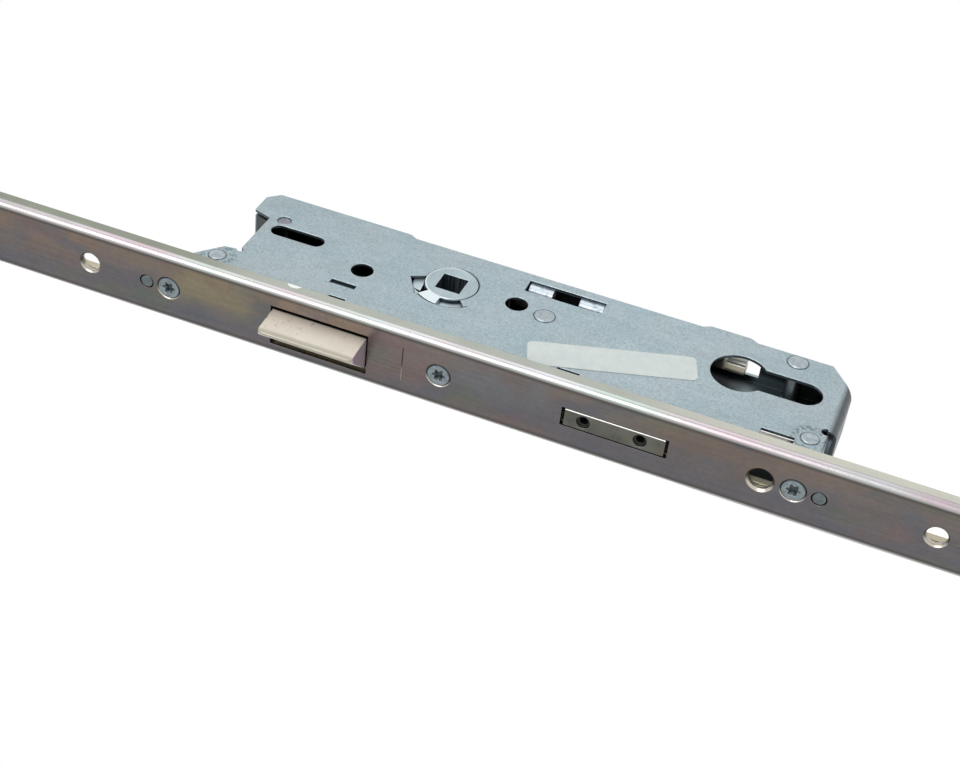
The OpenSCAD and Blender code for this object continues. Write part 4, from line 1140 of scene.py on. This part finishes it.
@dataclass
class Studio:
    """Pale floor, soft lamps, white surround and the camera at the photograph's angle."""

    floor_z: float = -196.4
    floor_half: float = 3.0
    floor_glow: float = 0.93
    floor_shade: float = 0.24
    floor_plain: float = 0.8
    seen_light: float = 1.0
    fill_light: float = 0.55
    image_width: float = 960.0
    focal_px: float = 1765.59
    eye: Triple = (-419.943, -320.913, -141.478)
    right: Triple = (0.3645, -0.0980, -0.9260)
    up: Triple = (0.552624, -0.777650, 0.299778)
    ahead: Triple = (0.749499, 0.621019, 0.229317)
    sensor_mm: float = 36.0
    lamps: tuple[Lamp, ...] = (
        Lamp("key", (-0.74, -0.63, 0.30), 1.1, 0.8, 6.0),
        Lamp("cover_side", (0.2, -0.95, 0.25), 1.2, 0.9, 3.0),
        Lamp("rear_fill", (0.4, 0.9, 0.4), 1.2, 0.9, 4.0),
    )

    def seen(self, tree: bpy.types.NodeTree) -> bpy.types.NodeSocket:
        """A mask for rays that show the surround itself: from the camera, a reflection or through glass.

        Args:
            tree: Node tree that takes the mask.

        Returns:
            Socket of the mask.
        """
        path = add(tree, "ShaderNodeLightPath").outputs
        glossy = add(tree, "ShaderNodeMath", {0: path["Is Camera Ray"], 1: path["Is Glossy Ray"]},
                     operation="MAXIMUM")
        either = {0: glossy.outputs[0], 1: path["Is Transmission Ray"]}
        return add(tree, "ShaderNodeMath", either, operation="MAXIMUM").outputs[0]

    def world(self) -> None:
        """White surround that lights the object at a plain level."""
        world = bpy.data.worlds.new("white_surround")
        world.use_nodes = True
        tree = world.node_tree
        tree.nodes.clear()
        level = {0: self.seen(tree), 1: 0.0, 2: 1.0, 3: self.fill_light, 4: self.seen_light}
        strength = add(tree, "ShaderNodeMapRange", level).outputs[0]
        sky = add(tree, "ShaderNodeBackground", {"Color": WHITE, "Strength": strength})
        add(tree, "ShaderNodeOutputWorld", {"Surface": sky.outputs[0]})
        bpy.context.scene.world = world

    def floor(self) -> None:
        """Pale floor that keeps the object's shadow."""
        bm = bmesh.new()
        bmesh.ops.create_grid(bm, x_segments=2, y_segments=2, size=self.floor_half,
                              matrix=Matrix.Translation((0.0, 0.0, self.floor_z * MM)))
        mesh = bpy.data.meshes.new("floor")
        bm.to_mesh(mesh)
        bm.free()
        floor = bpy.data.objects.new("floor", mesh)
        bpy.context.scene.collection.objects.link(floor)
        paper = bpy.data.materials.new("white_paper_floor")
        paper.use_nodes = True
        tree = paper.node_tree
        tree.nodes.clear()
        glow = add(tree, "ShaderNodeEmission", {"Color": WHITE, "Strength": self.floor_glow})
        dim, plain = (add(tree, "ShaderNodeBsdfDiffuse", {"Color": (grey, grey, grey, 1.0)}).outputs[0]
                      for grey in (self.floor_shade, self.floor_plain))
        both = add(tree, "ShaderNodeAddShader", {0: glow.outputs[0], 1: dim})
        mixed = add(tree, "ShaderNodeMixShader", {0: self.seen(tree), 1: plain, 2: both.outputs[0]})
        add(tree, "ShaderNodeOutputMaterial", {"Surface": mixed.outputs[0]})
        mesh.materials.append(paper)

    def light(self, lamp: Lamp) -> None:
        """Sets up one lamp that faces the lock.

        Args:
            lamp: Lamp to set up.
        """
        light = bpy.data.lights.new(lamp.name, "AREA")
        light.size = lamp.size
        light.energy = lamp.power
        place = Vector(lamp.towards).normalized()
        made = bpy.data.objects.new(lamp.name, light)
        made.location = place * lamp.reach
        made.rotation_euler = place.to_track_quat("Z", "Y").to_euler()
        bpy.context.scene.collection.objects.link(made)

    def camera(self) -> None:
        """Camera at the photograph's angle."""
        data = bpy.data.cameras.new("photo_camera")
        data.sensor_fit = "HORIZONTAL"
        data.sensor_width = self.sensor_mm
        data.lens = data.sensor_width * self.focal_px / self.image_width
        data.clip_start = 0.01
        made = bpy.data.objects.new("photo_camera", data)
        axes = (Vector(self.right), Vector(self.up), -Vector(self.ahead))
        turn = Matrix([axis.normalized() for axis in axes]).transposed().to_4x4()
        made.matrix_world = Matrix.Translation(Vector(self.eye) * MM) @ turn
        bpy.context.scene.collection.objects.link(made)
        bpy.context.scene.camera = made

    def build(self) -> None:
        """Sets up the light, the floor and the camera."""
        bpy.context.scene.view_settings.view_transform = "Standard"
        self.world()
        self.floor()
        for lamp in self.lamps:
            self.light(lamp)
        self.camera()


def main() -> None:
    """Builds the lock's sub-assemblies and the studio."""
    logging.basicConfig(level=logging.INFO, format="%(message)s")
    shop = Workshop()
    for assembly in (FaceplateRail(), LockCase(), LatchTrain(), HubTrain(), BoltTrain()):
        LOG.info("%s", type(assembly).__name__)
        assembly.build(shop)
    Studio().build()


if __name__ == "__main__":
    main()
